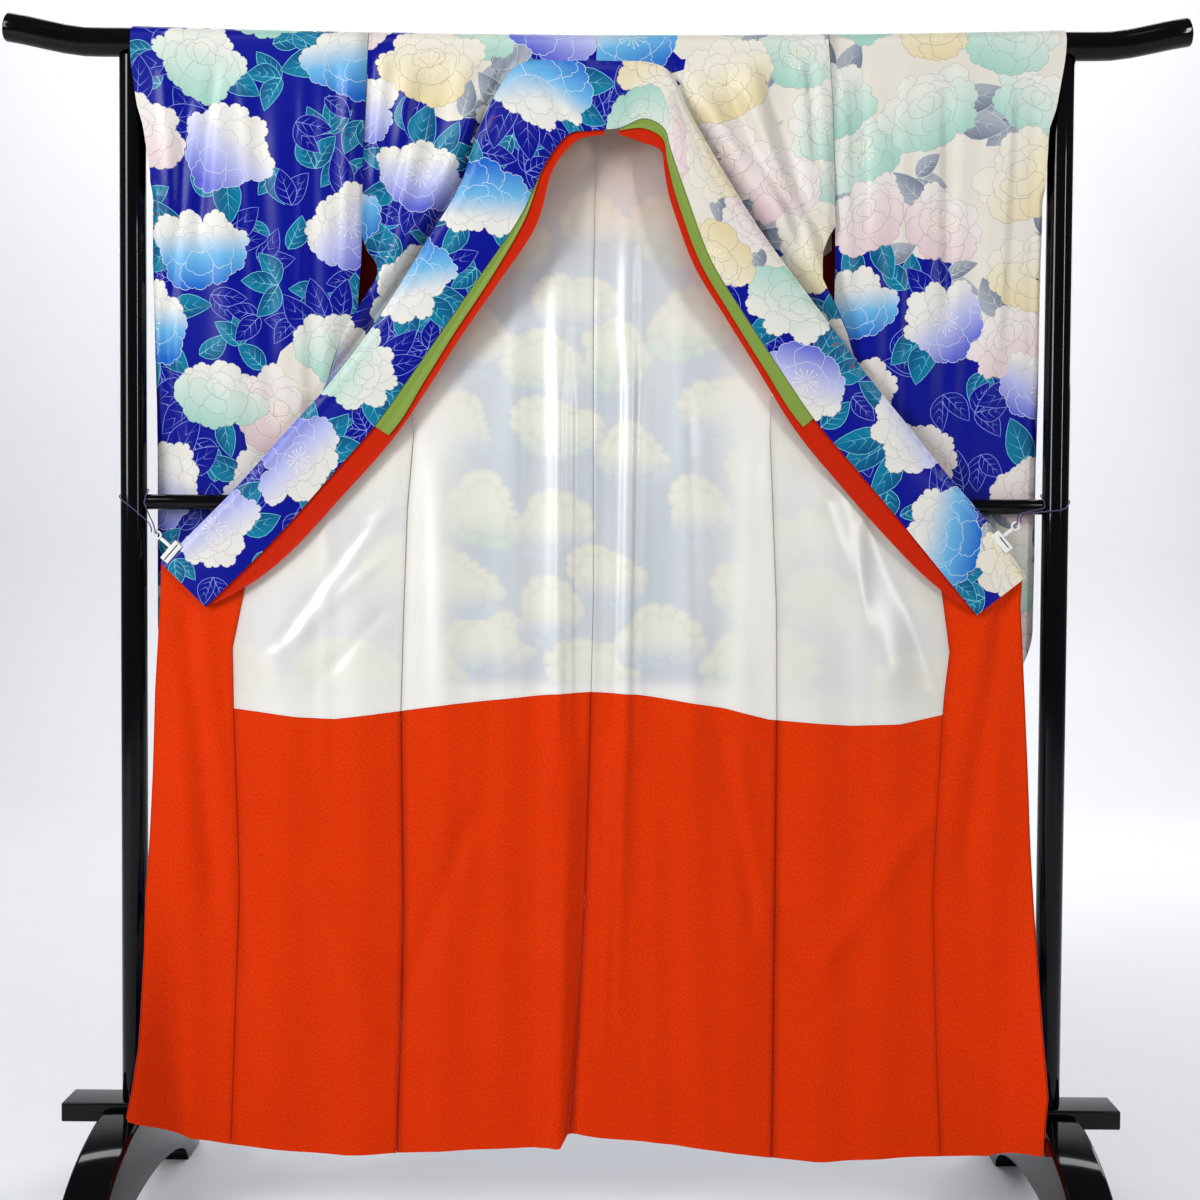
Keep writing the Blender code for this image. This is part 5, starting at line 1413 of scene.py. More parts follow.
def silhouettes(x, z, low, high, spacing):
    """Pale flowers of the outer cloth, as they show through the white lining."""
    rnd = random.Random(SILHOUETTE_SEED)
    ground = np.array([0.63, 0.695, 0.81])
    cream = np.array([0.90, 0.905, 0.83])
    cool = np.array([0.66, 0.75, 0.88])
    green = np.array([0.72, 0.83, 0.80])
    tint = np.zeros(np.shape(x) + (3,)) + ground
    for px, pz in scatter(rnd, low, high, spacing):
        radius = spacing * rnd.uniform(0.52, 0.68)
        turn = rnd.uniform(0.0, 6.28)
        lobes = rnd.choice((9, 11, 13))
        foot = cool if rnd.random() < 0.6 else green
        dx, dz = (x - px) / rnd.uniform(1.05, 1.30), z - pz
        angle = np.arctan2(dz, dx)
        uneven = angle + 0.35 * np.sin(2.0 * angle + turn) + turn
        rim = radius * (0.80 + 0.13 * np.abs(np.sin(uneven * lobes / 2.0)) ** 0.5
                        + 0.12 * np.sin(2.0 * angle + 1.7 * turn) + 0.08 * np.sin(3.0 * angle + 0.6 * turn))
        reach = np.hypot(dx, dz) / rim
        mask = (1.0 - ramp(0.96, 1.02, reach))[..., None]
        share = ramp(-0.75, 0.15, dz / radius)[..., None]
        inner = foot + (cream - foot) * share
        ring = np.exp(-((reach - 0.58 - 0.14 * np.abs(np.sin(uneven * 3.5))) / 0.06) ** 2)
        gap = np.exp(-(np.sin(uneven * lobes / 2.0) / 0.28) ** 2) * ramp(0.55, 0.75, reach)
        inner = inner * (1.0 - 0.05 * ramp(0.82, 0.97, reach) - 0.08 * ring - 0.08 * gap)[..., None]
        tint = tint + (inner - tint) * mask
    return tint


def painted_seam_shade(x, z, colour=(0.40, 0.55, 0.55)):
    """Painted shade beside the seams, where one width folds over the next."""
    dark = 0.0
    for line, share in seam_lines(x, z, 0.5, 0.9):
        past = x - line
        dark = np.maximum(dark, share * np.exp(-(past / np.where(past > 0.0, 0.0065, 0.0040)) ** 2))
    return 1.0 - dark[..., None] * np.array(colour)


def painted_armhole_shade(x, v):
    """Painted shade beside the sleeve seam."""
    left = np.exp(-(np.maximum(0.0, -0.341 - x) / 0.012) ** 2) * (x < 0.0)
    right = np.exp(-(np.maximum(0.0, x - 0.349) / 0.006) ** 2) * (x > 0.0)
    near = np.maximum(left * (x > -0.60), right * (x < 0.60))
    return 1.0 - (0.32 * near)[..., None] * np.ones(3)


def painted_body_shade(x, v):
    """Painted shade in the fold beside the collar and beside the sleeve seams."""
    above = v + bar_axis_z(x) - collar_seam(x)
    valley = np.exp(-(np.maximum(0.0, above - 0.008) / 0.017) ** 2) * ramp(-0.03, -0.12, v)
    seam = np.exp(-((np.abs(x) - np.where(x < 0, 0.341, 0.349)) / 0.006) ** 2)
    return 1.0 - np.maximum(0.52 * valley, 0.30 * seam)[..., None] * np.ones(3)


# Painted shade on the white lining, warmed by light from the red collar lining and the outer cloth
WARM_PAINTED_SHADE = np.array([0.80, 0.54, 0.44])
DULL_PAINTED_SHADE = np.array([0.66, 0.58, 0.52])


def past_collar(x, z):
    """How far a place lies past the collar's free edge."""
    left, right = ([(row.inner_z, row.inner_x) for row in rows] for rows in (COLLAR[:10], COLLAR[14:]))
    return np.where(x < 0, x - table(left, z), table(right, z) - x)


def see_through(x, z):
    """Tint of the white lining where the printed back shows through it, with painted shade beside the collar, near the
    neck and by the seams.
    """
    tint = silhouettes(x, z, (-0.26, 0.80), (0.26, 1.62), 0.098)
    seam = np.where(x < 0, -edge(SIDE_SEAM, z, -1), edge(SIDE_SEAM, z, 1))
    patchy = 0.80 + 0.20 * waves(x, z, 0.16, 8)
    amount = (1.0 - ramp(-0.075, -0.010, np.abs(x) - seam * 0.92)) * ramp(0.795, 0.825, z) * patchy
    tint = 1.0 + (tint - 1.0) * amount[..., None]
    # Painted shade beside the collar's free edge, warmed by light from its red lining
    painted_shade = 0.55 * np.exp(-(np.maximum(0.0, past_collar(x, z) - 0.030) / 0.022)) * ramp(0.9, 1.1, z)
    # Painted warm shade towards the neck
    painted_shade = np.maximum(painted_shade, ramp(1.40, 1.60, z) * (0.62 + 0.16 * waves(x, z, 0.12, 15)))
    return (tint + (WARM_PAINTED_SHADE - tint) * painted_shade[..., None]) * painted_seam_shade(x, z, (0.16, 0.17, 0.18))


def faint_flowers(x, z):
    """The same on the turned fronts, where the cloth behind is paler, with painted shade by the collar's edge and over
    the whole right front.
    """
    tint = silhouettes(x * 0.9, z, (-0.52, 0.78), (0.52, 1.20), 0.125)
    tint = 1.0 + (tint - 1.0) * (0.30 * ramp(0.77, 0.82, z))[..., None]
    warm = np.where((x > 0)[..., None], DULL_PAINTED_SHADE, WARM_PAINTED_SHADE)
    # Painted shade beside the collar's free edge, duller on the right front
    painted_shade = 0.62 * np.exp(-(np.maximum(0.0, past_collar(x, z) - 0.034) / np.where(x > 0, 0.028, 0.017)))
    # Painted shade: the whole right front a little darker
    tint = tint * np.where(x > 0, 0.92, 1.0)[..., None]
    return (tint + (warm - tint) * painted_shade[..., None]) * painted_seam_shade(x, z, (0.16, 0.18, 0.20))


class KIMONO_OT_sleeves(bpy.types.Operator):
    """Two long sleeves, each one length of printed silk folded at the shoulder"""
    bl_idname = "kimono.sleeves"
    bl_label = "Sleeves"

    def execute(self, context):
        cloth = settings("cloth")
        for side, label in SIDES:
            design = printed(cloth.seed + side + 2, *corners(side * 0.34, side * 0.68, -1.02, 1.06),
                             cloth.flower_spacing, SLEEVE_CLOUDS[side])
            made = shell("sleeve_%s" % label, sleeve_outline(side), sleeve_form(side), cloth.fine_step,
                         [finish_of("print"), finish_of("sleeve")], design, tuple(cloth.ground), THICK,
                         tint=painted_armhole_shade, inner_step=0.007, rim_rows=(0.0018, 0.0052))
            hang(made, "printed_silk", ("sleeve_%s_front" % label, "sleeve_%s_back" % label), "top_bar")
            seam = side * (abs(float(edge(SLEEVE_SEAM, 1.2, side))) + 2.0 * SEAM_GAP)
            low, high = corners(seam * 0.90, seam * 1.12, *FACING_ENDS)

            def facing(u, v, side=side):
                return np.stack([u, sleeve_depth(u, v, side, "back") - CLOTH - LAYER, v], axis=-1)

            strip = shell("sleeve_facing_%s" % label, [low, (high[0], low[1]), high, (low[0], high[1])], facing, 0.009,
                          [finish_of("sleeve")])
            hang(strip, "red_sleeve_lining", ("sleeve_%s_lining" % label,), "sleeve_%s" % label)
        return {"FINISHED"}


class KIMONO_OT_body(bpy.types.Operator):
    """The two body widths, from the collar seam in front over the bar to the back hem"""
    bl_idname = "kimono.body"
    bl_label = "Body"

    def execute(self, context):
        cloth = settings("cloth")
        for side, label in SIDES:
            design = printed(cloth.seed + 10 + side, *corners(0.0, side * 0.40, -0.52, 1.74), cloth.flower_spacing,
                             BODY_CLOUDS[side])
            made = shell("body_%s_cloth" % label, body_outline(side), body_form, 0.008,
                         [finish_of("print"), finish_of("back")], design, tuple(cloth.ground), THICK,
                         tint=painted_body_shade, inner_step=0.007, zone=(-0.60, 0.0, 0.0048))
            hang(made, "printed_silk", ("body_%s" % label,), "top_bar")
        return {"FINISHED"}


class KIMONO_OT_fronts(bpy.types.Operator):
    """The outer cloth of the fronts and overlap panels, turned so its print faces back"""
    bl_idname = "kimono.fronts"
    bl_label = "Turned fronts"

    def execute(self, context):
        cloth = settings("cloth")
        form = curtain_form(LAYER + EASE + CLOTH)
        hem = level_of(HEM, HEM_ROLL)
        for side, label in SIDES:
            design = printed(cloth.seed + 20 + side, *corners(side * 0.26, side * 0.69, 0.08, 1.26),
                             cloth.flower_spacing * 1.05, ((side * 0.45, 0.55, 0.13), (side * 0.60, 0.9, 0.10)),
                             rich=False)
            for piece, near, far, proud in (("front", SIDE_SEAM, OKUMI_SEAM, 0.0),
                                            ("okumi", OKUMI_SEAM, FRONT_EDGE, side * 0.003)):
                a = line_of(near, side, side * HALF_GAP)
                b = line_of(far, side, proud - side * HALF_GAP)
                outline = panel_outline(side, a, b, level_of(TURNED_TOP[side]), hem)
                made = shell("%s_%s_cloth" % (piece, label), outline, form, cloth.back_step,
                             [finish_of("print"), finish_of("orange")], design, tuple(cloth.ground), flip=True)
                hang(made, "printed_silk", ("%s_%s" % (piece, label),), "collar_band")
        return {"FINISHED"}


class KIMONO_OT_linings(bpy.types.Operator):
    """The white upper lining and the orange lower lining"""
    bl_idname = "kimono.linings"
    bl_label = "Linings"

    def execute(self, context):
        cloth, lining = settings("cloth"), settings("lining")
        form = curtain_form(0.0)
        looks = {"white": (tuple(lining.white), "white_lining_silk"),
                 "lower": (tuple(lining.orange), "orange_lining_silk")}
        join_up, join_down = level_of(LINING_JOIN, HALF_GAP), level_of(LINING_JOIN, -HALF_GAP)
        hem = level_of(HEM)
        for side, label in SIDES:
            def back_side(z, side=side):
                return np.where(z < ARMHOLE_Z, edge(SIDE_SEAM, z, side), edge(SLEEVE_SEAM, z, side)) - side * HALF_GAP

            def middle(z, side=side):
                return table(CENTRE_SEAM, z) + side * HALF_GAP

            def shifted_hem(x, side=side):
                return table(HEM, x + side * 0.001)

            okumi, okumi_far = line_of(OKUMI_SEAM, side, -side * HALF_GAP), line_of(OKUMI_SEAM, side, side * HALF_GAP)
            front_side = line_of(SIDE_SEAM, side, side * HALF_GAP)
            front_edge = line_of(FRONT_EDGE, side, -side * HALF_GAP)
            top = level_of(TURNED_TOP[side])
            rows = (
                ("lining_back", middle, back_side, lambda x: LINING_TOP_Z, join_up, "white", see_through),
                ("hakkake_back", middle, back_side, join_down, shifted_hem, "lower", painted_seam_shade),
                ("lining_front", front_side, okumi, top, join_up, "white", faint_flowers),
                ("hakkake_front", front_side, okumi, join_down, hem, "lower", painted_seam_shade),
                ("hakkake_okumi", okumi_far, front_edge, top, hem, "lower", painted_seam_shade),
            )
            for piece, near, far, upper, lower, finish, tint in rows:
                colour, slot = looks[finish]
                made = shell("%s_%s_cloth" % (piece, label), panel_outline(side, near, far, upper, lower), form,
                             cloth.fine_step * (0.7 if tint is see_through else 1.0), [finish_of(finish)], None,
                             colour, tint=tint)
                hang(made, slot, ("%s_%s" % (piece, label),), "body_%s_cloth" % label)
        return {"FINISHED"}


class KIMONO_OT_collar(bpy.types.Operator):
    """The wide collar with its red lining and the green inner collar"""
    bl_idname = "kimono.collar"
    bl_label = "Collar"

    def execute(self, context):
        cloth = settings("cloth")
        total = float(COLLAR_LENGTH[-1])
        design = printed(cloth.seed + 31, (0.0, 0.0), (total, COLLAR_WIDTH), cloth.flower_spacing * 0.92,
                         COLLAR_CLOUDS)
        outline = [(0.0, 0.0), (total, 0.0), (total, COLLAR_WIDTH), (0.0, COLLAR_WIDTH)]
        made = shell("collar_band", outline, collar_form, 0.0055, [finish_of("print"), finish_of("collar")],
                     design, tuple(cloth.ground), flip=True, inner_step=0.0055)
        hang(made, "printed_silk", ("collar",), "body_left_cloth", "body_right_cloth")
        red = (8, 2.0 * LAYER, 0.0, "collar", "red_collar_lining")
        green = (7, LAYER, 0.0006, "inner", "green_inner_collar")
        neck = NECK_ROW * COLLAR_STEPS
        rows = (("collar_lining_left", 0, neck - 4, red), ("collar_lining_right", neck, -1, red),
                ("inner_collar_left", 4 * COLLAR_STEPS, 9 * COLLAR_STEPS, green),
                ("inner_collar_right", neck, 20 * COLLAR_STEPS, green))
        for node, first, last, (column, setback, rib, finish, slot) in rows:
            ends = float(COLLAR_LENGTH[first]), float(COLLAR_LENGTH[last])
            strip = ribbon(node + "_cloth", ends, trim_form(column, setback, rib), finish_of(finish))
            seat(strip, node)
        return {"FINISHED"}


def running_stitch():
    """Node group: small stitches at an even pitch along the input's edges."""
    tree = bpy.data.node_groups.new("Running stitch", "GeometryNodeTree")
    tree.interface.new_socket("Path", in_out="INPUT", socket_type="NodeSocketGeometry")
    for name in ("Pitch", "Length", "Thickness"):
        tree.interface.new_socket(name, in_out="INPUT", socket_type="NodeSocketFloat")
    tree.interface.new_socket("Thread", in_out="INPUT", socket_type="NodeSocketMaterial")
    tree.interface.new_socket("Stitches", in_out="OUTPUT", socket_type="NodeSocketGeometry")
    source = tree.nodes.new("NodeGroupInput")
    path, pitch, length, thickness, thread = (Node(tree, source.outputs[i]) for i in range(5))
    curve = add_node(tree, "GeometryNodeMeshToCurve", {"Mesh": path})
    points = add_node(tree, "GeometryNodeResampleCurve", {"Curve": curve, "Length": pitch}, {"mode": "LENGTH"})
    bead = add_node(tree, "GeometryNodeMeshUVSphere", {"Segments": 6, "Rings": 4, "Radius": 0.5})
    tangent = add_node(tree, "GeometryNodeInputTangent", {})
    turn = add_node(tree, "FunctionNodeAlignRotationToVector", {"Vector": tangent}, {"axis": "Z"})
    size = add_node(tree, "ShaderNodeCombineXYZ", {"X": thickness, "Y": thickness, "Z": length})
    placed = add_node(tree, "GeometryNodeInstanceOnPoints",
                      {"Points": points, "Instance": bead, "Rotation": turn, "Scale": size})
    solid = add_node(tree, "GeometryNodeRealizeInstances", {"Geometry": placed})
    finished = add_node(tree, "GeometryNodeSetMaterial", {"Geometry": solid, "Material": thread})
    target = tree.nodes.new("NodeGroupOutput")
    tree.links.new(finished.socket, target.inputs[0])
    return tree


def sewn(name, lines, pitch, length, thickness):
    """Rows of stitches along lines of points, as one plain mesh."""
    verts, edges = [], []
    for line in lines:
        start = len(verts)
        verts += [tuple(point) for point in line]
        edges += [(start + i, start + i + 1) for i in range(len(line) - 1)]
    mesh = bpy.data.meshes.new(name + "_path")
    mesh.from_pydata(verts, edges, [])
    path = link(name + "_path", mesh)
    modifier = path.modifiers.new("Running stitch", "NODES")
    modifier.node_group = running_stitch()
    values = {"Pitch": pitch, "Length": length, "Thickness": thickness, "Thread": finish_of("thread")}
    for item in modifier.node_group.interface.items_tree:
        if item.in_out == "INPUT" and item.name in values:
            modifier[item.identifier] = values[item.name]
    graph = bpy.context.evaluated_depsgraph_get()
    solid = bpy.data.meshes.new_from_object(path.evaluated_get(graph))
    path.modifiers.remove(modifier)
    bpy.data.objects.remove(path)
    solid.name = name
    solid.shade_smooth()
    made = link(name, solid)
    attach(made, "root")


def on_curtain(xs, zs, proud):
    """Points on the linings, a little in front of them."""
    return np.stack([xs, curtain(xs, zs) - proud, zs], axis=-1).tolist()


class KIMONO_OT_stitches(bpy.types.Operator):
    """The visible stitches where the white lining meets the orange one"""
    bl_idname = "kimono.stitches"
    bl_label = "Stitches"

    def execute(self, context):
        lining = settings("lining")
        for side, label in SIDES:
            near = float(table(CENTRE_SEAM, 0.8)) + side * 0.002
            far = float(edge(OKUMI_SEAM, 0.8, side)) - side * 0.002
            xs = np.linspace(near, far, 160)
            lines = [on_curtain(xs, table(LINING_JOIN, xs) + 0.0024, 0.0002)]
            top = float(table(TURNED_TOP[side], edge(OKUMI_SEAM, 1.0, side))) - 0.02
            zs = np.linspace(float(table(LINING_JOIN, far)) + 0.004, top, 90)
            lines.append(on_curtain(edge(OKUMI_SEAM, zs, side) - side * 0.0024, zs, 0.0002))
            sewn("lining_stitches_%s" % label, lines, lining.stitch_pitch, lining.stitch_length, 0.0007)
        return {"FINISHED"}


def ribbon(name, span, form, material, columns=14):
    """A long narrow strip of cloth with two faces and rounded edges."""
    rows = max(8, int((span[1] - span[0]) / 0.006))
    us = np.linspace(span[0], span[1], rows + 1)
    vs = np.linspace(-1.0, 1.0, columns + 1)
    u, v = np.meshgrid(us, vs, indexing="ij")
    place = form(u.ravel(), v.ravel()).reshape(rows + 1, columns + 1, 3)
    far = place + np.array([0.0, CLOTH, 0.0])
    verts = np.concatenate([place.reshape(-1, 3), far.reshape(-1, 3)])
    size = (rows + 1) * (columns + 1)
    faces = []
    for r in range(rows):
        for c in range(columns):
            a, b = r * (columns + 1) + c, (r + 1) * (columns + 1) + c
            faces.append((a, b, b + 1, a + 1))
            faces.append((size + a, size + a + 1, size + b + 1, size + b))
    for r in range(rows):
        for c in (0, columns):
            a, b = r * (columns + 1) + c, (r + 1) * (columns + 1) + c
            faces.append((a, size + a, size + b, b) if c == 0 else (a, b, size + b, size + a))
    for c in range(columns):
        for r in (0, rows):
            a = r * (columns + 1) + c
            faces.append((a, a + 1, size + a + 1, size + a) if r == 0 else (a, size + a, size + a + 1, a + 1))
    mesh = bpy.data.meshes.new(name)
    mesh.from_pydata(verts.tolist(), [], faces)
    uv = mesh.uv_layers.new(name="cloth")
    flat = np.concatenate([np.stack([u.ravel(), v.ravel() * 0.015], axis=1)] * 2)
    corner = np.empty(len(mesh.loops), int)
    mesh.loops.foreach_get("vertex_index", corner)
    uv.data.foreach_set("uv", flat[corner].ravel())
    work = bmesh.new()
    work.from_mesh(mesh)
    bmesh.ops.recalc_face_normals(work, faces=work.faces)
    work.to_mesh(mesh)
    work.free()
    mesh.shade_smooth()
    mesh.set_sharp_from_angle(angle=math.radians(50.0))
    made = link(name, mesh, material)
    width = float(np.linalg.norm(np.diff(place, axis=1), axis=2).sum(1).mean())
    length = float(np.linalg.norm(np.diff(place, axis=0), axis=2).sum(0).mean())
    made["cut_width"], made["cut_length"] = width, length
    return made


# Stand
def turned(name, centres, radii, sides, material):
    """A round bar with rounded ends through centres in a plane of constant y."""
    work = bmesh.new()
    rings = []
    for i, (centre, radius) in enumerate(zip(centres, radii)):
        ahead = Vector(centres[min(i + 1, len(centres) - 1)])
        behind = Vector(centres[max(i - 1, 0)])
        along = (ahead - behind).normalized()
        across = Vector((0.0, 1.0, 0.0))
        up = along.cross(across)
        rings.append([work.verts.new(Vector(centre) + radius * (across * math.cos(a) + up * math.sin(a)))
                      for a in (2.0 * math.pi * s / sides for s in range(sides))])
    for first, second in zip(rings, rings[1:]):
        for s in range(sides):
            t = (s + 1) % sides
            work.faces.new((first[s], first[t], second[t], second[s]))
    work.faces.new(rings[0])
    work.faces.new(rings[-1])
    bmesh.ops.recalc_face_normals(work, faces=work.faces)
    return link(name, mesh_of(name, work, 50.0), material)


def rounded_ends(points, radius, edge_size):
    """Centres and radii of a bar whose rims are eased by edge_size."""
    first, last = Vector(points[0]), Vector(points[-1])
    start = (Vector(points[1]) - first).normalized()
    end = (Vector(points[-2]) - last).normalized()
    eased = [(edge_size * (1.0 - math.sin(turn)), radius - edge_size * (1.0 - math.cos(turn)))
             for turn in (math.radians(angle) for angle in (90.0, 60.0, 30.0, 0.0))]
    centres = [first + start * back for back, _ in eased] + [Vector(p) for p in points[1:-1]]
    centres += [last + end * back for back, _ in reversed(eased)]
    radii = [size for _, size in eased] + [radius] * (len(points) - 2) + [size for _, size in reversed(eased)]
    return centres, radii


class KIMONO_OT_stand(bpy.types.Operator):
    """The lacquered stand: top bar, middle bar, base rail, posts and arched feet"""
    bl_idname = "kimono.stand"
    bl_label = "Stand"

    def execute(self, context):
        stand = settings("stand")
        finish = finish_of("lacquer")
        bar = [(x, 0.0, float(bar_axis_z(x))) for x in np.linspace(-BAR_HALF_LENGTH, BAR_HALF_LENGTH, 61)]
        pieces = [("stand_top_bar", "top_bar", bar, BAR_RADIUS)]
        reach = POST_X - POST_RADIUS - SEAM_GAP
        pieces.append(("stand_mid_bar", "mid_bar", [(-reach, 0, MID_BAR_Z), (0, 0, MID_BAR_Z), (reach, 0, MID_BAR_Z)],
                       MID_BAR_RADIUS))
        top = float(bar_axis_z(POST_X - POST_RADIUS)) - BAR_RADIUS - SEAM_GAP
        for side, label in SIDES:
            x = side * POST_X
            pieces.append(("stand_post_%s" % label, "post_%s" % label,
                           [(x, 0, RAIL_TOP + SEAM_GAP), (x, 0, 0.9), (x, 0, top)], POST_RADIUS))
        for name, node, points, radius in pieces:
            ease = 0.0006 if "post" in name or "mid" in name else stand.bevel
            centres, radii = rounded_ends(points, radius, ease)
            seat(turned(name, centres, radii, stand.sides, finish), node)
        self.rail(stand, finish)
        for side, label in SIDES:
            self.foot(side * FOOT_X, label, stand, finish)
        return {"FINISHED"}

    def rail(self, stand, finish):
        work = bmesh.new()
        bmesh.ops.create_cube(work, size=1.0, matrix=Matrix.Translation((0.0, 0.0, RAIL_TOP - RAIL_HEIGHT / 2.0))
                              @ Matrix.Diagonal((2.0 * RAIL_HALF_LENGTH, RAIL_DEPTH, RAIL_HEIGHT, 1.0)))
        bmesh.ops.bevel(work, geom=list(work.edges), offset=stand.bevel, segments=3, affect="EDGES", profile=0.6)
        seat(link("stand_rail", mesh_of("stand_rail", work, 40.0), finish), "base_rail")

    def foot(self, x, label, stand, finish):
        """An arched foot with softly rounded long edges and a notch for the rail."""
        notch = RAIL_DEPTH / 2.0 + SEAM_GAP
        notch_z = RAIL_TOP - RAIL_HEIGHT - SEAM_GAP
        start = math.acos(notch / FOOT_HALF_LENGTH)
        right = []
        for i in range(37):
            angle = start * i / 36
            right.append((FOOT_HALF_LENGTH * math.cos(angle), FOOT_HEIGHT * math.sin(angle)))
        right.append((notch, notch_z))
        left = [(-y, z) for y, z in reversed(right)]
        arch = [(-FOOT_ARCH_HALF_LENGTH * math.cos(math.pi * i / 36), FOOT_ARCH_HEIGHT * math.sin(math.pi * i / 36))
                for i in range(37)]
        work = bmesh.new()
        face = work.faces.new([work.verts.new((x - FOOT_WIDTH / 2.0, y, z)) for y, z in right + left + arch])
        grown = bmesh.ops.extrude_face_region(work, geom=[face])
        moved = [item for item in grown["geom"] if isinstance(item, bmesh.types.BMVert)]
        bmesh.ops.translate(work, verts=moved, vec=(FOOT_WIDTH, 0.0, 0.0))
        bmesh.ops.recalc_face_normals(work, faces=work.faces)
        rims = [e for e in work.edges if abs(e.verts[0].co.x - e.verts[1].co.x) < 1e-6
                and min((v.co.y / FOOT_HALF_LENGTH) ** 2 + (v.co.z / FOOT_HEIGHT) ** 2 for v in e.verts) > 0.97
                and max(abs(v.co.y) for v in e.verts) > notch + 0.001]
        bmesh.ops.bevel(work, geom=rims, offset=2.0 * stand.bevel, segments=4, affect="EDGES", profile=0.5)
        name = "stand_foot_%s" % label
        seat(link(name, mesh_of(name, work, 30.0), finish), "foot_%s" % label)


ClipRow = namedtuple("ClipRow", "x z angle ring_x ring_z slot_start slot_end slot_side")
CLIPS = {"left": ClipRow(-0.629, 1.004, 49.0, -0.6485, 1.0270, -0.46, 0.44, -0.0030),
         "right": ClipRow(0.607, 1.0265, -50.0, 0.6250, 1.0480, -0.24, 0.38, -0.0010)}
JAW_LENGTH = 0.034
JAW_REACH = 0.010
JAW_PLATE = 0.0022
JAW_THROAT = 0.0015
JAW_WALL = 0.0040
ARM_WIDTH = 0.0050
CLIP_PLAY = 0.0022
RING_MAJOR = 0.0055
RING_MINOR = 0.0016


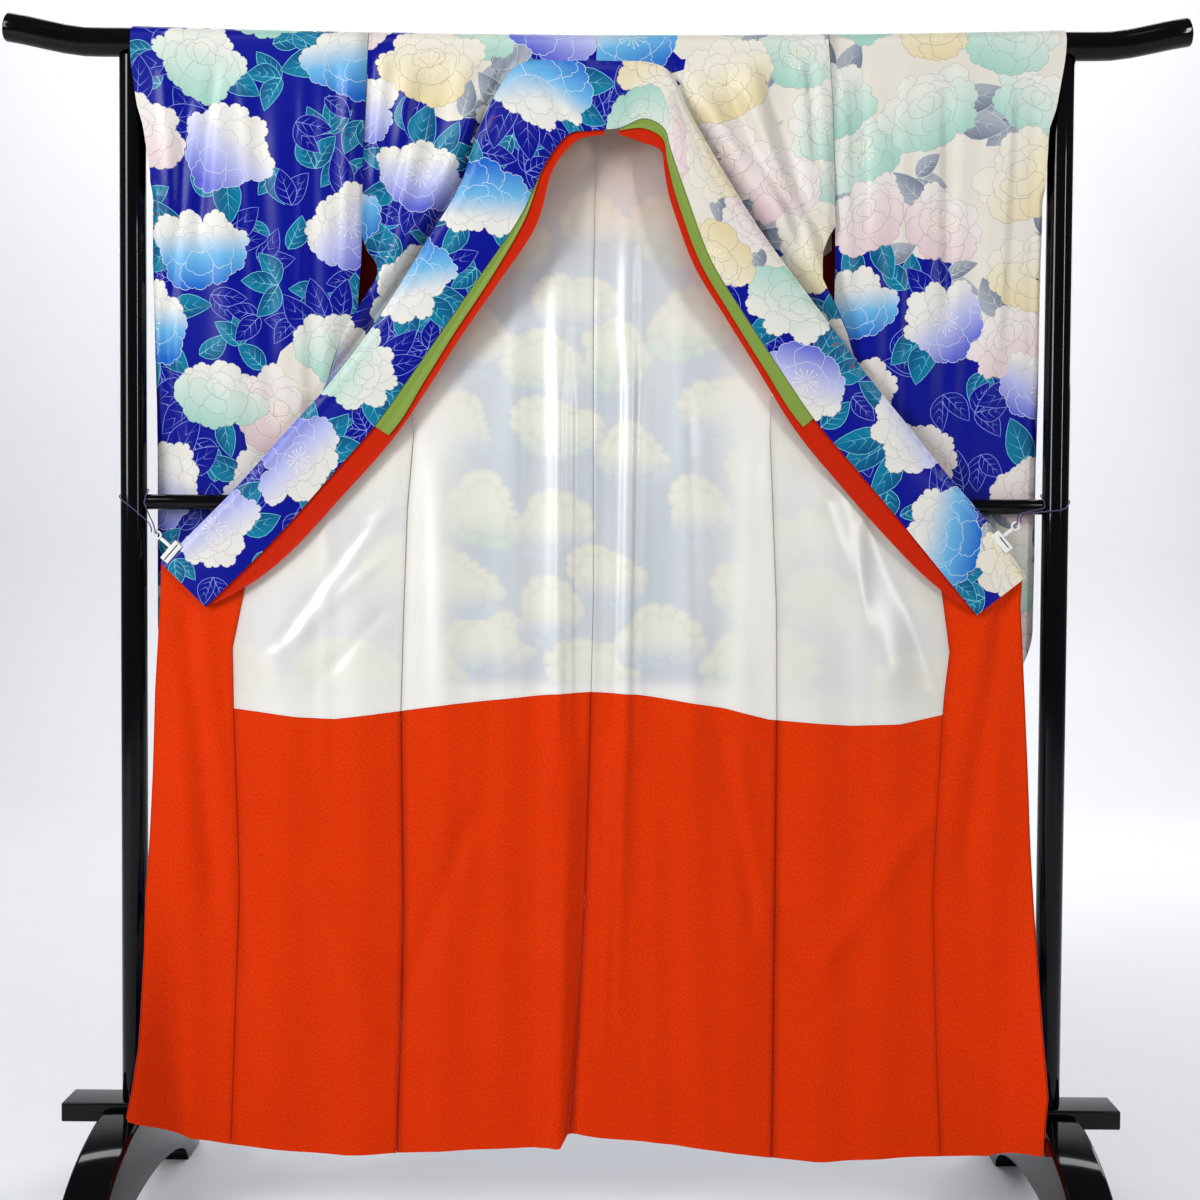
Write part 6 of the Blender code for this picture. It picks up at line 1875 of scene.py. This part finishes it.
class KIMONO_OT_clips(bpy.types.Operator):
    """The white clips and purple cords that hold the ends of the collar"""
    bl_idname = "kimono.clips"
    bl_label = "Clips and cords"

    def execute(self, context):
        for label, row in CLIPS.items():
            angle = math.radians(row.angle)
            tangent = Vector((math.cos(angle), 0.0, math.sin(angle)))
            outward = Vector((-tangent.z, 0.0, tangent.x))
            if outward.x * row.x < 0.0:
                outward = -outward
            ring = Vector((row.ring_x, COLLAR[0].outer_y - 0.0002, row.ring_z))
            self.jaw(label, row, tangent, outward)
            self.arm(label, row, tangent, outward, ring)
            self.ring(label, ring)
        for name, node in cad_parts.items():
            if name.startswith("tie"):
                node.data.materials.clear()
                node.data.materials.append(finish_of("cord"))
        return {"FINISHED"}

    def keep(self, name, work, node):
        made = link(name, mesh_of(name, work, 45.0), finish_of("clip"), finish_of("slot"))
        seat(made, node)

    def jaw(self, label, row, tangent, outward):
        """The gripping jaw, with the slot in its face, coloured near black as painted shade."""
        near = COLLAR[0].outer_y - CLIP_PLAY
        back = float(table(CURTAIN_DEPTH, row.z)) + 2.0 * LAYER + CLIP_PLAY
        centre = Vector((row.x, 0.0, row.z))
        section = ((-JAW_REACH, near - JAW_PLATE), (JAW_WALL, near - JAW_PLATE), (JAW_WALL, back + JAW_PLATE),
                   (-JAW_REACH, back + JAW_PLATE), (-JAW_REACH, back), (JAW_THROAT, back), (JAW_THROAT, near),
                   (-JAW_REACH, near))
        work = bmesh.new()
        face = work.faces.new([work.verts.new(centre - tangent * JAW_LENGTH / 2.0 + outward * n + Vector((0, y, 0)))
                               for n, y in section])
        grown = bmesh.ops.extrude_face_region(work, geom=[face])
        bmesh.ops.translate(work, verts=[v for v in grown["geom"] if isinstance(v, bmesh.types.BMVert)],
                            vec=tangent * JAW_LENGTH)
        bmesh.ops.recalc_face_normals(work, faces=work.faces)
        bmesh.ops.bevel(work, geom=list(work.edges), offset=0.0006, segments=3, affect="EDGES", profile=0.5)
        front = min((f for f in work.faces if f.calc_area() > 1e-4), key=lambda f: f.calc_center_median().y)
        bmesh.ops.inset_individual(work, faces=[front], thickness=0.0008)
        middle = front.calc_center_median()
        for vert in front.verts:
            along = row.slot_end if (vert.co - middle).dot(tangent) > 0.0 else row.slot_start
            beside = row.slot_side + math.copysign(0.0009, (vert.co - middle).dot(outward))
            vert.co = centre + tangent * (along * JAW_LENGTH) + outward * beside + Vector((0.0, vert.co.y, 0.0))
        floor = bmesh.ops.extrude_discrete_faces(work, faces=[front])["faces"][0]
        bmesh.ops.translate(work, verts=floor.verts, vec=(0.0, 0.0014, 0.0))
        # The slot's floor and walls take the near-black finish: painted shade inside the slot
        for dark in {floor, *(f for e in floor.edges for f in e.link_faces)}:
            dark.material_index = 1
        self.keep("clip_jaw_%s" % label, work, "clip_%s" % label)

    def arm(self, label, row, tangent, outward, ring):
        start = Vector((row.x, ring.y, row.z))
        along = (ring - start).dot(tangent)
        reach = (ring - start).dot(outward) - RING_MAJOR - RING_MINOR - SEAM_GAP
        work = bmesh.new()
        for n in (JAW_WALL + SEAM_GAP, reach):
            for t in (along - ARM_WIDTH / 2.0, along + ARM_WIDTH / 2.0):
                for y in (-JAW_PLATE / 2.0, JAW_PLATE / 2.0):
                    work.verts.new(start + outward * n + tangent * t + Vector((0.0, y, 0.0)))
        bmesh.ops.convex_hull(work, input=work.verts)
        bmesh.ops.dissolve_limit(work, angle_limit=0.02, verts=work.verts, edges=work.edges)
        bmesh.ops.recalc_face_normals(work, faces=work.faces)
        bmesh.ops.bevel(work, geom=list(work.edges), offset=0.0004, segments=2, affect="EDGES", profile=0.5)
        self.keep("clip_arm_%s_bar" % label, work, "clip_arm_%s" % label)

    def ring(self, label, middle):
        work = bmesh.new()
        loops = []
        for i in range(32):
            turn = 2.0 * math.pi * i / 32
            out = Vector((math.cos(turn), 0.0, math.sin(turn)))
            loops.append([work.verts.new(middle + out * (RING_MAJOR + RING_MINOR * math.cos(math.pi * s / 6.0))
                                         + Vector((0.0, RING_MINOR * math.sin(math.pi * s / 6.0), 0.0)))
                          for s in range(12)])
        for first, second in zip(loops, loops[1:] + loops[:1]):
            for s in range(12):
                work.faces.new((first[s], first[s - 1], second[s - 1], second[s]))
        bmesh.ops.recalc_face_normals(work, faces=work.faces)
        self.keep("clip_ring_%s_loop" % label, work, "clip_ring_%s" % label)


CAMERA_PLACE = (0.0242, -2.5, 1.0171)
CAMERA_TURN = (-0.324, 1.906, -0.355)
ROOM_HALF_WIDTH = 8.0
ROOM_HEIGHT = 7.0
WALL_START = 4.0


class KIMONO_OT_stage(bpy.types.Operator):
    """Pale floor and wall, soft lights and the camera"""
    bl_idname = "kimono.stage"
    bl_label = "Stage"

    def execute(self, context):
        stage = settings("stage")
        made, tree, shader = new_material("Pale floor")
        tone = noise(place_of(tree), 3.0, 4.0)
        join(shades(tone, tuple(stage.floor), 1.0, 0.97), shader, "Base Color")
        join(tone * 0.1 + 0.55, shader, "Roughness")
        work = bmesh.new()
        profile = [(-ROOM_HALF_WIDTH, 0.0), (WALL_START, 0.0)]
        for angle in (math.pi / 2.0 * i / 12 for i in range(1, 13)):
            profile.append((WALL_START + math.sin(angle), 1.0 - math.cos(angle)))
        profile.append((WALL_START + 1.0, ROOM_HEIGHT))
        rows = [[work.verts.new((x, y, z)) for x in (-ROOM_HALF_WIDTH, ROOM_HALF_WIDTH)] for y, z in profile]
        for first, second in zip(rows, rows[1:]):
            work.faces.new((first[0], first[1], second[1], second[0]))
        link("backdrop", mesh_of("backdrop", work), made)

        context.scene.view_settings.view_transform = "Standard"
        world = bpy.data.worlds.new("Soft room")
        bpy.context.scene.world = world
        world.use_nodes = True
        background = world.node_tree.nodes["Background"]
        background.inputs["Color"].default_value = (0.93, 0.96, 1.0, 1.0)
        background.inputs["Strength"].default_value = 0.14
        for name, place, target, size, power in (
                ("Key", (-3.1, -2.5, 2.5), (0.0, 0.0, 1.0), (0.9, 2.4), stage.key),
                ("Fill", (2.7, -2.9, 2.2), (0.0, 0.0, 0.9), (0.25, 1.8), 1.1 * stage.fill),
                ("Top", (0.0, -1.8, 3.7), (0.0, 0.0, 0.6), (2.6, 1.2), 0.6 * stage.fill),
                ("Back", (3.6, 2.8, 2.9), (0.0, 0.3, 0.8), (1.2, 2.4), 1.4 * stage.fill),
                ("Wall", (0.0, 2.6, 4.8), (0.0, 5.0, 1.2), (6.5, 1.0), stage.wall)):
            light = bpy.data.lights.new(name, "AREA")
            light.shape = "RECTANGLE"
            light.size, light.size_y = size
            light.energy = power
            lamp = link(name, light)
            lamp.location = place
            lamp.rotation_euler = (Vector(target) - Vector(place)).to_track_quat("-Z", "Y").to_euler()
        self.camera()
        return {"FINISHED"}

    def camera(self):
        yaw, pitch, roll = (math.radians(angle) for angle in CAMERA_TURN)
        ahead = Vector((math.sin(yaw) * math.cos(pitch), math.cos(yaw) * math.cos(pitch), -math.sin(pitch)))
        right = Vector((math.cos(yaw), -math.sin(yaw), 0.0))
        down = ahead.cross(right)
        side = right * math.cos(roll) + down * math.sin(roll)
        low = -right * math.sin(roll) + down * math.cos(roll)
        data = bpy.data.cameras.new("Camera")
        data.sensor_width = 36.0
        data.lens = 50.0
        made = link("Camera", data)
        turn = Matrix((side, -low, -ahead)).transposed().to_4x4()
        made.matrix_world = Matrix.Translation(CAMERA_PLACE) @ turn
        bpy.context.scene.camera = made


class KIMONO_PT_panel(bpy.types.Panel):
    bl_label = "Kimono"
    bl_idname = "KIMONO_PT_panel"
    bl_space_type = "VIEW_3D"
    bl_region_type = "UI"
    bl_category = "Kimono"

    def draw(self, context):
        for name in GROUPS:
            group = settings(name)
            for key in group.bl_rna.properties.keys():
                if key not in ("rna_type", "name"):
                    self.layout.prop(group, key)
        for operator in OPERATORS:
            self.layout.operator(operator.bl_idname)


GROUPS = {"cloth": ClothSettings, "lining": LiningSettings, "stand": StandSettings, "stage": StageSettings}
OPERATORS = (KIMONO_OT_stand, KIMONO_OT_sleeves, KIMONO_OT_body, KIMONO_OT_fronts, KIMONO_OT_linings,
             KIMONO_OT_stitches, KIMONO_OT_collar, KIMONO_OT_clips, KIMONO_OT_stage)


def register():
    for cls in (*GROUPS.values(), *OPERATORS, KIMONO_PT_panel):
        bpy.utils.register_class(cls)
    for name, cls in GROUPS.items():
        setattr(bpy.types.Scene, "kimono_" + name, bpy.props.PointerProperty(type=cls))


def unregister():
    for name in GROUPS:
        delattr(bpy.types.Scene, "kimono_" + name)
    for cls in reversed((*GROUPS.values(), *OPERATORS, KIMONO_PT_panel)):
        bpy.utils.unregister_class(cls)


def main():
    register()
    bpy.ops.kimono.stand()
    bpy.ops.kimono.sleeves()
    bpy.ops.kimono.body()
    bpy.ops.kimono.fronts()
    bpy.ops.kimono.linings()
    bpy.ops.kimono.stitches()
    bpy.ops.kimono.collar()
    bpy.ops.kimono.clips()
    bpy.ops.kimono.stage()


if __name__ == "__main__":
    main()
